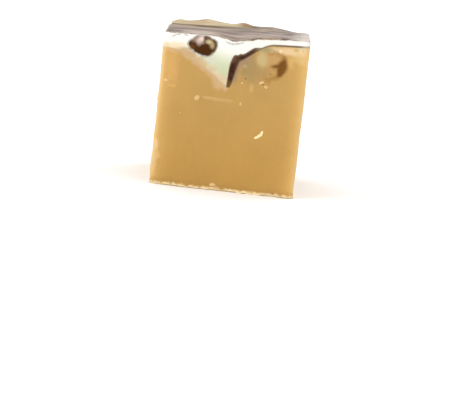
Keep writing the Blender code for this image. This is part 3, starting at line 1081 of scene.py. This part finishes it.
spot_group, given, result = new_group(
    "soft spot",
    {"Across": 0.0, "Up": 0.0, "X": 0.0, "Z": 0.0, "Wide": 2.0, "High": 2.0, "Softness": 0.4, "Wobble": 0.5},
    {"Mask": "NodeSocketFloat"},
)
off_x = reckon(spot_group, "SUBTRACT", given["Across"], given["X"])
off_x = reckon(spot_group, "DIVIDE", off_x, given["Wide"])
off_z = reckon(spot_group, "SUBTRACT", given["Up"], given["Z"])
off_z = reckon(spot_group, "DIVIDE", off_z, given["High"])
ring = put(spot_group, "ShaderNodeCombineXYZ", {"X": off_x, "Y": off_z}).outputs[0]
ring = with_vectors(spot_group, "LENGTH", ring)
rough = noise_value(spot_group, object_place(spot_group), SPOT_NOISE_PER_METRE, 3.0)
rough = reckon(spot_group, "SUBTRACT", rough, 0.5)
ring = reckon(spot_group, "MULTIPLY_ADD", rough, given["Wobble"], ring)
outer = reckon(spot_group, "ADD", 1.0, given["Softness"])
inner = reckon(spot_group, "SUBTRACT", 1.0, given["Softness"])
spot_group.links.new(eased(spot_group, ring, outer, inner), result["Mask"])
print("Made the group", spot_group.name)

# %% [markdown]
# ## From picture colours to surface colours
# A surface shows its own colour times the light that falls on it, plus a little white that its
# gloss reflects. Both were measured in a render, so a material can name the colour that it has in
# the picture, 0 to 255, and shown() works out the surface colour for it.

# %% Colour helpers
LIGHT = 1.18
GLOSS = 0.014
LEAST, MOST = 0.003, 0.95


def shown(red, green, blue):
    """The surface colour that shows as the given picture colour in this light."""
    values = (value / 255 for value in (red, green, blue))
    linear = (value / 12.92 if value <= 0.04045 else ((value + 0.055) / 1.055) ** 2.4 for value in values)
    return tuple(min(MOST, max(LEAST, (value - GLOSS) / LIGHT)) for value in linear) + (1.0,)


def mixed(tree, share, first, second):
    """first where share is 0, second where it is 1."""
    node = put(tree, "ShaderNodeMix", {0: share, 6: first, 7: second}, data_type="RGBA")
    return node.outputs[2]


def laid(tree, colour, mask, picture_colour, strength=1.0):
    """Lays a picture colour over a surface colour where the mask is."""
    return mixed(tree, product(tree, mask, strength), colour, shown(*picture_colour))


print("Mid grey in the picture is, on the surface:", round(shown(128, 128, 128)[0], 3))

# %% [markdown]
# ## A food material
# Every material here starts from the same waxy shader and ends with the grain. Values that are the
# same all over are set on the shader's own sockets.

# %% Material helpers
SCATTER_COLOUR = (1.0, 0.6, 0.35)
SCATTER_DEPTH = 1.2 * MM
BUMP_DEPTH = 0.1 * MM
TONE_FROM = (0.3, 0.7)
TONE_TO = (0.94, 1.05)


def food_material(name, roughness, specular, subsurface=0.0):
    """A material with its shader's fixed values set, its tree and its shader."""
    material = bpy.data.materials.new(name)
    material.use_nodes = True
    tree = material.node_tree
    shader = tree.nodes["Principled BSDF"]
    shader.inputs["Roughness"].default_value = roughness
    shader.inputs["Specular IOR Level"].default_value = specular
    shader.inputs["Subsurface Weight"].default_value = subsurface
    shader.inputs["Subsurface Radius"].default_value = SCATTER_COLOUR
    shader.inputs["Subsurface Scale"].default_value = SCATTER_DEPTH
    return material, tree, shader


def finish_surface(tree, shader, colour, pores, drag, strength):
    """Links the colour, toned by the grain, and the grain's bump to the shader."""
    grain = use(tree, grain_group, pores=pores, drag=drag)
    names = ("From Min", "From Max", "To Min", "To Max")
    tone = put(tree, "ShaderNodeMapRange", {"Value": grain["Tone"], **dict(zip(names, TONE_FROM + TONE_TO))})
    toned = with_vectors(tree, "SCALE", colour, tone.outputs["Result"])
    tree.links.new(toned, shader.inputs["Base Color"])
    relief = {"Height": grain["Height"], "Strength": strength, "Distance": BUMP_DEPTH}
    relief = put(tree, "ShaderNodeBump", relief)
    tree.links.new(relief.outputs["Normal"], shader.inputs["Normal"])


print("Light scatters in the fudge over about", round(SCATTER_DEPTH / MM, 1), "mm")

# %% [markdown]
# The stains of the front shouldn't show through on the other walls, so a mask tells the front wall
# from the rest. A list of spots is laid over a colour one by one, each written as its middle, its
# half sizes, its strength and its picture colour. On the top the place may be bent, for swirls.

# %% Front mask and spots
FRONT_ENDS = (-DEPTH / 2 + 1.2 * MM, -DEPTH / 2 + 3.5 * MM)


def behind_front(tree):
    """0 on the front wall, 1 on the other walls and on the top behind the rim."""
    return eased(tree, place_along(tree, "Y"), *FRONT_ENDS)


def spots(tree, colour, patches, softness, wobble, up="Z", bent=None):
    """Lays soft spots over a colour: on the front, or on the top where up is Y."""
    border = {"softness": softness, "wobble": wobble}
    place = bent or object_place(tree)
    across_wall, up_wall = (product(tree, place_along(tree, axis, place), 1 / MM) for axis in ("X", up))
    shows = outside(tree, behind_front(tree)) if up == "Z" else 1.0
    for x, z, wide, high, strength, picture_colour in patches:
        size = {"x": x, "z": z, "wide": wide, "high": high}
        spot = use(tree, spot_group, across=across_wall, up=up_wall, **size, **border)["Mask"]
        colour = laid(tree, colour, product(tree, spot, shows), picture_colour, strength)
    return colour


print("The front mask ends", round((FRONT_ENDS[1] + DEPTH / 2) / MM, 1), "mm behind the front wall")

# %% [markdown]
# ## Caramel fudge: painted glow at its edges
# Towards the upright edges the caramel turns yellower and paler, because light comes through the
# thin corner there. The shader's own scattering does that too, but it can't be given a colour and a
# reach of its own at the edges. So a painted glow that falls off with the distance is laid over the
# colour, with a pale painted rim light right at each edge.

# %% Edge glow
GLOW_REACH = 1.9 * MM
RIM_LIGHT_REACH = 0.4 * MM


def glow_near_edges(tree, reach):
    """1 at the cube's upright edges, falling off by the given reach."""
    beside = (reckon(tree, "ABSOLUTE", place_along(tree, axis)) for axis in "XY")
    gap = reckon(tree, "SUBTRACT", WIDTH / 2, reckon(tree, "MINIMUM", *beside))
    gap = reckon(tree, "MAXIMUM", gap, 0.0)
    return reckon(tree, "EXPONENT", product(tree, gap, -1 / reach))


print("The glow's share 2 mm from an edge:", round(math.exp(-2 * MM / GLOW_REACH), 2))

# %% [markdown]
# ## Caramel fudge: strokes on the other walls
# The blade dragged brown strokes and clouds down under the topping. The photograph doesn't show
# these walls, so the marbling group draws them, and they fade out with the distance from the seam.

# %% Chocolate strokes
CHOCOLATE_STROKES = (96, 62, 36)
CHOCOLATE_CLOUDS = (172, 132, 92)
STROKES_FROM_SEAM = (-6.5, -0.6)
CLOUDS_FROM_SEAM = (-7.0, -1.2)


def chocolate_strokes(tree, colour, seam):
    """Brown strokes and clouds under the topping of the other walls."""
    behind = behind_front(tree)
    folded = use(tree, marbling_group, scale=150.0, warp=18.0, bend=60.0, start=0.2, vary=2.5)["Value"]
    clouds = product(tree, eased(tree, folded, 0.3, 0.62), eased(tree, seam, *CLOUDS_FROM_SEAM), behind)
    colour = laid(tree, colour, clouds, CHOCOLATE_CLOUDS, 0.7)
    strokes = product(tree, eased(tree, folded, 0.7, 0.95), eased(tree, seam, *STROKES_FROM_SEAM), behind)
    return laid(tree, colour, strokes, CHOCOLATE_STROKES, 0.85)


print("The strokes fade out", -STROKES_FROM_SEAM[0], "mm below the seam")

# %% [markdown]
# ## Caramel fudge: the whole material
# The body is a plain golden tan, a little darker towards the bottom. Under the topping the front is
# stained: a pinkish bleed along the vanilla, a mauve shade under the fold, an olive cloud, a pale
# patch, and the brown hook with its faint tail. A painted glow lies on the upper left edge, and
# painted light on the pale chip low on that edge. The pressed lip at the base is dry and pale, with a
# line of painted shade above it. One painted picture could hold all that, but here each mark is laid
# over the last, and can be changed alone.

# %% Caramel colours
CARAMEL_HIGH = (198, 158, 94)
CARAMEL_LOW = (197, 154, 85)
CARAMEL_PAINTED_GLOW = (238, 192, 117)
CARAMEL_PAINTED_RIM_LIGHT = (230, 204, 158)
CARAMEL_LIP = (252, 226, 178)
CARAMEL_SHADE_ABOVE_LIP = (176, 136, 78)
CARAMEL_BLEED = (212, 176, 130)
CARAMEL_MAUVE = (166, 138, 112)
HOOK_BROWN = (122, 78, 26)
TAIL_BROWN = (168, 124, 66)
CARAMEL_PATCHES_AND_GLOW = (
    (15.6, 42.5, 6.4, 1.1, 0.95, (238, 206, 162)),
    (19.4, 41.6, 2.4, 2.4, 0.6, (226, 200, 144)),
    (19.9, 43.4, 1.8, 1.2, 0.9, (222, 214, 186)),
    (4.9, 36.4, 3.6, 3.4, 0.9, (170, 146, 97)),
    (8.6, 36.0, 3.4, 2.0, 0.6, (184, 147, 97)),
    (8.2, 42.4, 2.0, 0.8, 0.9, (172, 158, 112)),
    (7.8, 39.4, 1.6, 2.2, 0.95, (204, 180, 128)),
    (11.4, 40.0, 1.9, 1.6, 0.8, (203, 160, 107)),
    (15.9, 39.6, 1.2, 1.6, 0.6, (224, 182, 116)),
    (-4.2, 31.2, 1.5, 1.7, 0.85, (210, 178, 132)),
    # painted glow on the upper left edge
    (-17.6, 34.6, 1.6, 5.0, 0.45, (230, 176, 110)),
)
CARAMEL_SPECKS_AND_LIT_CHIP = (
    (2.9, 37.1, 0.7, 0.5, 0.5, (200, 176, 142)),
    (3.6, 33.5, 0.35, 0.3, 0.7, (142, 108, 66)),
    (10.5, 35.5, 0.35, 0.25, 0.6, (146, 108, 66)),
    (8.7, 32.3, 0.45, 0.22, 0.7, (150, 110, 60)),
    (-3.4, 26.6, 4.4, 0.5, 0.5, (216, 178, 118)),
    (-6.4, 26.9, 1.8, 0.3, 0.5, (220, 182, 122)),
    (5.6, 30.8, 0.6, 1.3, 0.5, (220, 182, 122)),
    (12.7, 42.3, 0.45, 0.5, 0.9, (255, 230, 184)),
    (17.2, 43.1, 0.7, 0.3, 0.6, (178, 146, 92)),
    (18.8, 42.9, 0.6, 0.4, 0.8, (255, 226, 160)),
    (-17.3, 29.1, 1.1, 0.35, 0.55, (236, 180, 112)),
    # painted light: the pale chip low on the left edge, which faces the light
    (-20.4, 11.8, 0.9, 1.6, 0.8, (250, 220, 184)),
    (-19.6, 8.4, 0.9, 1.2, 0.5, (240, 202, 150)),
    (-20.6, 6.4, 1.1, 3.6, 0.8, (226, 200, 160)),
)
print("Patches and specks in the caramel:", len(CARAMEL_PATCHES_AND_GLOW) + len(CARAMEL_SPECKS_AND_LIT_CHIP))

# %% Caramel material
DARKENING_HEIGHTS = (4 * MM, 32 * MM)
TIP_DEPTH = TROUGH_DEPTH_FRONT / MM


def left_of_trough(tree):
    """1 to the left of the trough's bottom line and 0 to its right."""
    return eased(tree, mark(tree, "side"), 0.6, -0.6)


def above_lip(tree, height, **border):
    """A stain's mask from the table up to the given height in mm."""
    from_table = product(tree, place_along(tree, "Z"), 1 / MM)
    return stain(tree, reckon(tree, "SUBTRACT", from_table, height), **border)


def caramel_material():
    """Golden tan with its glow, its lip, its bleeds and the brown hook."""
    material, tree, shader = food_material("caramel fudge", 0.6, 0.16, 0.2)
    # the caramel is a little darker towards the bottom
    upper = eased(tree, place_along(tree, "Z"), *DARKENING_HEIGHTS)
    colour = mixed(tree, upper, shown(*CARAMEL_LOW), shown(*CARAMEL_HIGH))
    colour = spots(tree, colour, CARAMEL_PATCHES_AND_GLOW, 0.6, 1.3)
    colour = spots(tree, colour, CARAMEL_SPECKS_AND_LIT_CHIP, 0.4, 0.8)
    seam = mark(tree, "seam")
    left = left_of_trough(tree)
    below_seam = reckon(tree, "SUBTRACT", -1.0, seam)
    bleed = stain(tree, below_seam, softness=0.7, wobble=0.7, scale=420.0)
    colour = laid(tree, colour, product(tree, bleed, left), CARAMEL_BLEED)
    colour = chocolate_strokes(tree, colour, seam)
    under_fold = eased(tree, mark(tree, "side"), 8.0, 4.0)
    above_tip = eased(tree, mark(tree, "depth"), TIP_DEPTH, TIP_DEPTH - 3)
    shade = product(tree, eased(tree, seam, -2.4, -0.4), outside(tree, left), under_fold, above_tip)
    colour = laid(tree, colour, shade, CARAMEL_MAUVE, 0.8)
    tail = stain(tree, mark(tree, "tail"), softness=0.8, wobble=0.45)
    colour = laid(tree, colour, tail, TAIL_BROWN, 0.85)
    hook = stain(tree, mark(tree, "hook"), softness=0.7, wobble=0.35, scale=520.0)
    colour = laid(tree, colour, hook, HOOK_BROWN)
    # painted glow, and a pale painted rim light right at the upright edges
    colour = laid(tree, colour, glow_near_edges(tree, GLOW_REACH), CARAMEL_PAINTED_GLOW)
    colour = laid(tree, colour, glow_near_edges(tree, RIM_LIGHT_REACH), CARAMEL_PAINTED_RIM_LIGHT)
    # painted shade: a darker line just above the lip
    colour = laid(tree, colour, above_lip(tree, 2.0, softness=0.9, wobble=0.5), CARAMEL_SHADE_ABOVE_LIP, 0.3)
    colour = laid(tree, colour, above_lip(tree, 0.8, softness=0.35, wobble=0.7, scale=900.0), CARAMEL_LIP)
    finish_surface(tree, shader, colour, 1.0, 0.6, 0.35)
    return material


caramel.data.materials.append(caramel_material())
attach(caramel, "root")
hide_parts("caramel_body")
print("Nodes in the caramel:", len(caramel.data.materials[0].node_tree.nodes))

# %% [markdown]
# ## The eye
# The rolled eye crosses from the skin into the vanilla, so both materials use it, and it is a group
# as well. It is dark below and paler above, with a dark line and a yellow spot inside, as a roll of
# thin layers looks when it is cut across, and a pinkish patch with a whiter middle that is a painted
# highlight on its gloss. A mesh for each thin layer would look too sharp, so the measured stroke gives
# its outline, and soft spots give the clouds and the painted highlight in it.

# %% Eye group
STREAK_GREY = (150, 134, 124)
EYE_DARK = (80, 54, 35)
EYE_CLOUDS_AND_HIGHLIGHT = (
    (-12.6, 43.2, 1.5, 0.8, 0.8, (150, 128, 112)),
    (-8.0, 44.5, 2.4, 0.8, 0.8, (128, 106, 90)),
    # painted highlight on the eye's gloss: a pinkish patch and its whiter middle
    (-10.7, 43.1, 1.2, 1.1, 1.0, (214, 188, 176)),
    (-10.3, 43.5, 0.5, 0.6, 0.9, (240, 220, 210)),
    (-9.1, 43.2, 0.35, 1.3, 0.8, (96, 68, 52)),
    (-7.8, 42.8, 0.8, 0.6, 0.9, (218, 200, 152)),
    (-7.0, 42.0, 0.7, 0.9, 0.9, (188, 164, 122)),
    (-5.9, 42.5, 0.5, 0.6, 0.6, (108, 94, 60)),
    (-13.0, 40.9, 1.0, 0.8, 0.4, (128, 92, 50)),
)

eye_group, given, result = new_group(
    "eye", {"Distance": 0.0}, {"Colour": "NodeSocketColor", "Mask": "NodeSocketFloat"}
)
eye_stain = stain(eye_group, given["Distance"], softness=0.5, wobble=0.35, scale=520.0)
eye_group.links.new(eye_stain, result["Mask"])
eye_group.links.new(spots(eye_group, shown(*EYE_DARK), EYE_CLOUDS_AND_HIGHLIGHT, 0.85, 1.5), result["Colour"])


def with_streaks_and_eye(tree, colour, shows=1.0):
    """Lays the grey streaks of the band and then the eye over a colour."""
    streak = stain(tree, mark(tree, "streak"), softness=0.3, wobble=0.25)
    colour = laid(tree, colour, streak, STREAK_GREY, 0.7)
    eye = use(tree, eye_group, distance=mark(tree, "eye"))
    return mixed(tree, product(tree, eye["Mask"], shows), colour, eye["Colour"])


print("Made the group", eye_group.name)

# %% [markdown]
# ## Vanilla fudge
# The pale layer is almost white at the top and turns a greenish cream down in the trough, where it
# is thin and the caramel shows through. Its lower border on the left is a warm cream that runs into
# the caramel's own bleed. Both come from measured distances, below the top and above the seam, so
# they follow the trough by themselves, where patches laid by hand would have to be fitted to it.

# %% Vanilla material
VANILLA = (254, 252, 243)
VANILLA_DEEP = (212, 216, 180)
VANILLA_CREAM = (238, 218, 180)
VANILLA_BLEED = (214, 184, 142)
VANILLA_BY_FOLD = (188, 162, 140)
VANILLA_STROKES = (206, 172, 128)
VANILLA_PATCHES = (
    (-3.3, 32.7, 1.7, 1.6, 0.8, (222, 196, 160)),
    (-6.9, 37.8, 2.0, 1.2, 0.7, (222, 219, 202)),
    (-6.5, 35.2, 1.5, 1.0, 0.7, (214, 192, 160)),
    (-16.4, 41.0, 2.2, 0.8, 0.7, (250, 230, 196)),
    (-15.2, 39.7, 2.4, 0.9, 0.85, (206, 174, 130)),
    (-12.6, 38.6, 1.8, 0.9, 0.9, (206, 170, 126)),
    (-10.6, 37.5, 1.7, 0.9, 0.85, (212, 178, 138)),
    (-8.8, 36.3, 1.7, 0.9, 0.8, (210, 186, 142)),
    (-18.6, 40.4, 2.6, 0.9, 0.5, (255, 240, 204)),
    (-3.0, 35.0, 1.0, 1.6, 0.6, (204, 211, 172)),
)


def along_seam(tree, height, **border):
    """A stain's mask up to a height in mm above the caramel, to the left of the trough."""
    over_seam = reckon(tree, "SUBTRACT", mark(tree, "seam"), height)
    return product(tree, stain(tree, over_seam, scale=420.0, **border), left_of_trough(tree))


def vanilla_material():
    """Milky white, creamier and darker down in the trough."""
    material, tree, shader = food_material("vanilla fudge", 0.55, 0.16, 0.2)
    deep = eased(tree, mark(tree, "depth"), 1.8, 8.4)
    colour = mixed(tree, deep, shown(*VANILLA), shown(*VANILLA_DEEP))
    colour = laid(tree, colour, along_seam(tree, 1.3, softness=0.8, wobble=0.8), VANILLA_CREAM)
    colour = laid(tree, colour, along_seam(tree, 0.6, softness=0.7, wobble=0.5), VANILLA_BLEED)
    colour = spots(tree, colour, VANILLA_PATCHES, 0.6, 1.3)
    by_fold = stain(tree, mark(tree, "fold"), softness=0.45, wobble=0.2)
    colour = laid(tree, colour, by_fold, VANILLA_BY_FOLD, 0.7)
    folded = use(tree, marbling_group, scale=190.0, warp=14.0, bend=70.0, start=0.6)["Value"]
    strokes = product(tree, eased(tree, folded, 0.5, 0.85), behind_front(tree))
    colour = laid(tree, colour, strokes, VANILLA_STROKES, 0.75)
    colour = with_streaks_and_eye(tree, colour)
    finish_surface(tree, shader, colour, 0.8, 0.3, 0.25)
    return material


vanilla.data.materials.append(vanilla_material())
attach(vanilla, "root")
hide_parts("vanilla_swirl")
print("Nodes in the vanilla:", len(vanilla.data.materials[0].node_tree.nodes))

# %% [markdown]
# ## The dark fold's chocolate
# The fold is dark chocolate with lighter clouds. Where it thins to a line it is olive, because the
# caramel and the vanilla show through, and for the same reason its borders are lighter. Those
# borders could be thin pieces of their own. The distances to both seams give them here, as soft
# masks whose width is easy to change.

# %% Fold material
FOLD_DARK = (66, 42, 22)
FOLD_LIGHTER = (94, 66, 44)
FOLD_OLIVE = (136, 118, 92)
FOLD_EDGE = (136, 112, 92)
FOLD_PATCHES = (
    (-1.2, 30.9, 1.1, 1.4, 0.8, (116, 92, 52)),
    (-0.9, 38.6, 1.4, 0.9, 0.5, (126, 100, 82)),
    (8.6, 43.2, 2.4, 1.2, 0.8, (168, 156, 122)),
    (21.0, 44.4, 1.8, 1.4, 1.0, (236, 226, 200)),
)


def fold_material():
    """Dark chocolate, lighter in places and at its edges, and olive where it thins to a line."""
    material, tree, shader = food_material("dark fold", 0.55, 0.1)
    lighter = use(tree, marbling_group, scale=420.0, warp=6.0, bend=120.0)["Value"]
    colour = laid(tree, shown(*FOLD_DARK), lighter, FOLD_LIGHTER, 0.5)
    on_front = outside(tree, behind_front(tree))
    thin = eased(tree, mark(tree, "side"), 6.0, 8.4)
    colour = laid(tree, colour, product(tree, thin, on_front), FOLD_OLIVE)
    colour = spots(tree, colour, FOLD_PATCHES, 0.6, 1.0)
    upper_edge = eased(tree, mark(tree, "fold"), -0.85, 0.1)
    lower_edge = eased(tree, mark(tree, "seam"), 0.7, -0.1)
    edges = product(tree, reckon(tree, "MAXIMUM", upper_edge, lower_edge), on_front)
    colour = laid(tree, colour, edges, FOLD_EDGE, 0.7)
    finish_surface(tree, shader, colour, 0.8, 0.3, 0.3)
    return material


dark_fold.data.materials.append(fold_material())
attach(dark_fold, "root")
print("Nodes in the fold:", len(dark_fold.data.materials[0].node_tree.nodes))

# %% [markdown]
# ## The skin's swirl
# The skin is marbled brown chocolate, its colours lightened towards a mauve grey as a painted sheen,
# and at the back left a dry cream swirl lies in it, ringed by olive, milk chocolate and tan, as a
# ladle leaves them. Rings drawn as meshes would look cut out. So the distance to the swirl's middle is
# measured on a bent place and gets a ramp of colours, each at a distance in millimetres.

# %% Swirl
# marbled chocolate, lightened towards mauve grey as a painted sheen
SKIN_BANDS_WITH_SHEEN = (
    (0.0, (92, 67, 46)),
    (0.5, (103, 78, 55)),
    (0.75, (126, 100, 76)),
    (1.0, (154, 128, 104)),
)
SWIRL_MIDDLE = (-12 * MM, 24 * MM, 0)
SWIRL_SPAN = 45 * MM
SWIRL_RINGS = (
    (3, (180, 152, 116)),
    (6, (208, 190, 154)),
    (9, (190, 168, 132)),
    (12, (204, 185, 148)),
    (15, (146, 126, 90)),
    (18, (116, 96, 62)),
    (20.5, (106, 85, 58)),
    (22.5, (128, 104, 78)),
    (24, (158, 130, 102)),
    (25.5, (134, 107, 82)),
    (27.5, (108, 83, 63)),
    (32, (97, 73, 56)),
    (33.5, (138, 110, 91)),
    (35.5, (112, 86, 71)),
)
SWIRL_ENDS = (36.5 * MM, 35 * MM)


def bands(tree, value, stops, span=1.0):
    """Gives a value from 0 to 1 the colours of some stops, which are counted in parts of the span."""
    ramp = put(tree, "ShaderNodeValToRGB", {"Fac": value})
    ramp.color_ramp.interpolation = "EASE"
    elements = ramp.color_ramp.elements
    while len(elements) < len(stops):
        elements.new(0.5)
    for element, (position, band_colour) in zip(elements, stops):
        element.position = position / span
        element.color = shown(*band_colour)
    return ramp.outputs["Color"]


def from_swirl(tree):
    """How far a place on the top is from the swirl's middle, on a bent place, in metres."""
    bent = use(tree, bent_group, warp=13.0, scale=46.0)["Place"]
    return with_vectors(tree, "DISTANCE", with_vectors(tree, "MULTIPLY", bent, (1, 1, 0)), SWIRL_MIDDLE)


def swirled_chocolate(tree, reach):
    """Marbled chocolate with the swirl in it, out to where its last ring ends."""
    marbling = use(tree, marbling_group, scale=62.0, warp=17.0, bend=48.0, start=0.35, vary=4.2)["Value"]
    rings = bands(tree, reckon(tree, "DIVIDE", reach, SWIRL_SPAN), SWIRL_RINGS, SWIRL_SPAN / MM)
    return mixed(tree, eased(tree, reach, *SWIRL_ENDS), bands(tree, marbling, SKIN_BANDS_WITH_SHEEN), rings)


print("Rings in the swirl:", len(SWIRL_RINGS))

# %% [markdown]
# ## The skin's worn rim
# Along the top's edges the chocolate is crumbled pale, with gaps. Wear can be read from how sharp
# a mesh is, but these edges are known: they lie near a wall and near the top. So the mask is the
# part that three masks share, and the third is a noise, which leaves the gaps.

# %% Worn rim
RIM_WEAR = (WIDTH / 2 - 0.8 * MM, WIDTH / 2 - 0.2 * MM)
RIM_GAPS_PER_METRE = 240


def worn_rim(tree):
    """1 along the top's edges, where the chocolate is crumbled pale, with gaps."""
    beside = (reckon(tree, "ABSOLUTE", place_along(tree, axis)) for axis in "XY")
    at_wall = eased(tree, reckon(tree, "MAXIMUM", *beside), *RIM_WEAR)
    near_top = eased(tree, mark(tree, "depth"), 0.9, 0.5)
    broken = eased(tree, noise_value(tree, object_place(tree), RIM_GAPS_PER_METRE), 0.4, 0.62)
    return product(tree, at_wall, near_top, broken)


print("The rim is worn", round((WIDTH / 2 - RIM_WEAR[0]) / MM, 1), "mm wide")

# %% [markdown]
# ## The skin's whole material
# Pale spots, partly bloom and partly a painted sheen, long scratches and the worn rim lie over the
# swirled chocolate, and its cut section on the walls is darker. On the front wall the skin is so thin
# that the vanilla shows through, except in the eye. Set chocolate has a satin shine, but the front and
# the dry swirl don't. A thin coat over a dull base gives that shine, because its weight may change over
# the surface.

# %% Skin material
SKIN_ROUGHNESS = 0.42
SKIN_SHINE = 0.05
SKIN_COAT = 0.78
SKIN_SECTION = (70, 47, 32)
SECTION_DEPTH = 0.7
FRONT_SKIN = 0.35
FRONT_SKIN_ENDS = (-DEPTH / 2 + 1.1 * MM, -DEPTH / 2 + 0.5 * MM)
DRY_ENDS = (20 * MM, 18 * MM)
SCRATCHES_PER_METRE = 900
TOP_LINES = (212, 190, 174)
TOP_RIM_COLOUR = (190, 170, 140)
TOP_BLOOM_AND_SHEEN_PATCHES = (
    # spots on the top: a tan one, and pale ones that are partly bloom and partly painted sheen
    (2.0, 17.2, 1.8, 1.7, 0.75, (176, 122, 86)),
    (-3.0, 20.3, 5.0, 1.0, 0.5, (222, 208, 180)),
    (19.8, -9.0, 3.4, 15.0, 0.85, (218, 208, 196)),
    (3.0, -13.0, 9.0, 2.2, 0.65, (188, 165, 150)),
    (-12.0, -18.0, 5.0, 2.2, 0.7, (206, 184, 166)),
    (12.0, -6.0, 7.0, 1.6, 0.5, (184, 160, 144)),
)


def skin_material():
    """Marbled chocolate on top, pale on the front wall, with the eye in it."""
    material, tree, shader = food_material("chocolate skin", SKIN_ROUGHNESS, SKIN_SHINE)
    shader.inputs["Coat Roughness"].default_value = SKIN_ROUGHNESS
    reach = from_swirl(tree)
    bent = use(tree, bent_group, warp=14.0, scale=70.0)["Place"]
    colour = spots(tree, swirled_chocolate(tree, reach), TOP_BLOOM_AND_SHEEN_PATCHES, 0.7, 1.4, "Y", bent)
    depth = mark(tree, "depth")
    section = stain(tree, reckon(tree, "SUBTRACT", SECTION_DEPTH, depth))
    colour = laid(tree, colour, section, SKIN_SECTION)
    scratches = noise_value(tree, object_place(tree, stretch=(0.04, 1, 1)), SCRATCHES_PER_METRE, 3.0, 0.55)
    colour = laid(tree, colour, eased(tree, scratches, 0.48, 0.68), TOP_LINES, 0.34)
    colour = laid(tree, colour, worn_rim(tree), TOP_RIM_COLOUR, 0.75)
    front = eased(tree, place_along(tree, "Y"), *FRONT_SKIN_ENDS)
    below = stain(tree, reckon(tree, "SUBTRACT", FRONT_SKIN, depth), softness=0.15, wobble=0.25, scale=520.0)
    thin = product(tree, front, below)
    colour = laid(tree, colour, thin, VANILLA)
    dull = reckon(tree, "MAXIMUM", thin, eased(tree, reach, *DRY_ENDS))
    tree.links.new(product(tree, outside(tree, dull), SKIN_COAT), shader.inputs["Coat Weight"])
    colour = with_streaks_and_eye(tree, colour, front)
    finish_surface(tree, shader, colour, 0.8, 0.1, 0.3)
    return material


skin.data.materials.append(skin_material())
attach(skin, "root")
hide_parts("chocolate_skin")
print("Nodes in the skin:", len(skin.data.materials[0].node_tree.nodes))

# %% [markdown]
# ## Flecks and crumbs
# The knife leaves pale crumbs stuck to the cut face: a curled sliver, some rounded grains, and two
# loose crumbs on the lip. Particles could scatter them, but the front's have fixed places. So each
# starts as a coarse ball, is squashed, turned and roughened by noise, and is pressed into the wall
# so that it stands out only a little. Each is written as its place on the front and its half sizes.

# %% Shape the flecks
FLECKS = (
    (-9.7, 26.5, 0.8, 0.65), (8.7, 16.9, 1.0, 0.35), (9.5, 17.6, 0.7, 0.5), (10.0, 18.4, 0.4, 0.6),
    (2.9, 26.0, 0.25, 0.5), (-14.2, 21.6, 0.3, 0.25), (-2.5, 1.6, 1.1, 0.45), (-1.4, 1.0, 0.8, 0.4),
    (8.3, 32.8, 0.85, 0.35), (9.8, 31.7, 0.65, 0.5), (2.7, 32.1, 0.35, 0.3),
    (-19.2, 30.5, 0.45, 0.5), (18.9, 43.0, 0.5, 0.35),
)
FLECK_PROUD = 0.18 * MM
FLECK_TURN = 0.5
FLECK_ROUGH = 0.6
FLECK_LUMPS = 1.7
OTHER_WALL_FLECKS = 12
draw = random.Random(7)


def add_fleck(mesh, wall, along, z, half_wide, half_high):
    """Adds one crumb to the mesh. wall is 0 for the front and counts on round the cube."""
    made = bmesh.ops.create_icosphere(mesh, subdivisions=2, radius=1.0)["verts"]
    turn_in_wall = Matrix.Rotation(draw.uniform(-FLECK_TURN, FLECK_TURN), 3, "Y")
    offset = Vector((draw.uniform(0, 50), draw.uniform(0, 50), 0))
    round_cube = Matrix.Rotation(math.pi / 2 * wall, 3, "Z")
    base = round_cube @ Vector((along * MM, -DEPTH / 2, z * MM))
    base = Vector(shaped(*base)) + SHIFT
    for vertex in made:
        rough = 1 + FLECK_ROUGH * noise.noise(vertex.co * FLECK_LUMPS + offset)
        flat = Vector((vertex.co.x * half_wide * MM, vertex.co.y * FLECK_PROUD, vertex.co.z * half_high * MM))
        vertex.co = base + round_cube @ (turn_in_wall @ (flat * rough))


fleck_mesh = bmesh.new()
for along, z, half_wide, half_high in FLECKS:
    add_fleck(fleck_mesh, 0, along, z, half_wide, half_high)
for wall in (1, 2, 3):
    for _ in range(OTHER_WALL_FLECKS):
        size = draw.uniform(0.45, 0.9) ** 2
        along, z, flatness = draw.uniform(-19, 19), draw.uniform(1, 37), draw.uniform(0.4, 0.9)
        add_fleck(fleck_mesh, wall, along, z, size, size * flatness)
flecks = piece_from("flecks", fleck_mesh)
print(len(FLECKS) + 3 * OTHER_WALL_FLECKS, "flecks")

# %% [markdown]
# The crumbs are dry caramel, a little paler than the cut face, and the sliver is the palest.

# %% Fleck material
FLECK_TAN = (214, 174, 114)
FLECK_PALE = (238, 202, 146)
SLIVER_SPOT = ((9.5, 17.6, 2.0, 1.6, 1.0, (255, 236, 182)),)
PALE_FLECKS_PER_METRE = 260


def fleck_material():
    """Dry caramel crumb, paler than the cut face."""
    material, tree, shader = food_material("caramel crumb", 0.7, 0.2)
    paler = eased(tree, noise_value(tree, object_place(tree), PALE_FLECKS_PER_METRE), 0.42, 0.6)
    colour = laid(tree, shown(*FLECK_TAN), paler, FLECK_PALE)
    colour = spots(tree, colour, SLIVER_SPOT, 0.3, 0.0)
    finish_surface(tree, shader, colour, 1.4, 0.0, 0.5)
    return material


flecks.data.materials.append(fleck_material())
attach(flecks, "root")
print("Nodes in the flecks:", len(flecks.data.materials[0].node_tree.nodes))

# %% [markdown]
# ## The size at the end
# The dressed cube must stay the size of the imported model. Both boxes are printed, so that they can
# be compared.

# %% Write the sizes and finish
VISUAL_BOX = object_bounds()
boxes = {"cad_box": CAD_BOX, "visual_box": VISUAL_BOX}
{name: [list(corner) for corner in box] for name, box in boxes.items()}
print("Visual box in mm:", [[round(value / MM, 2) for value in corner] for corner in VISUAL_BOX])
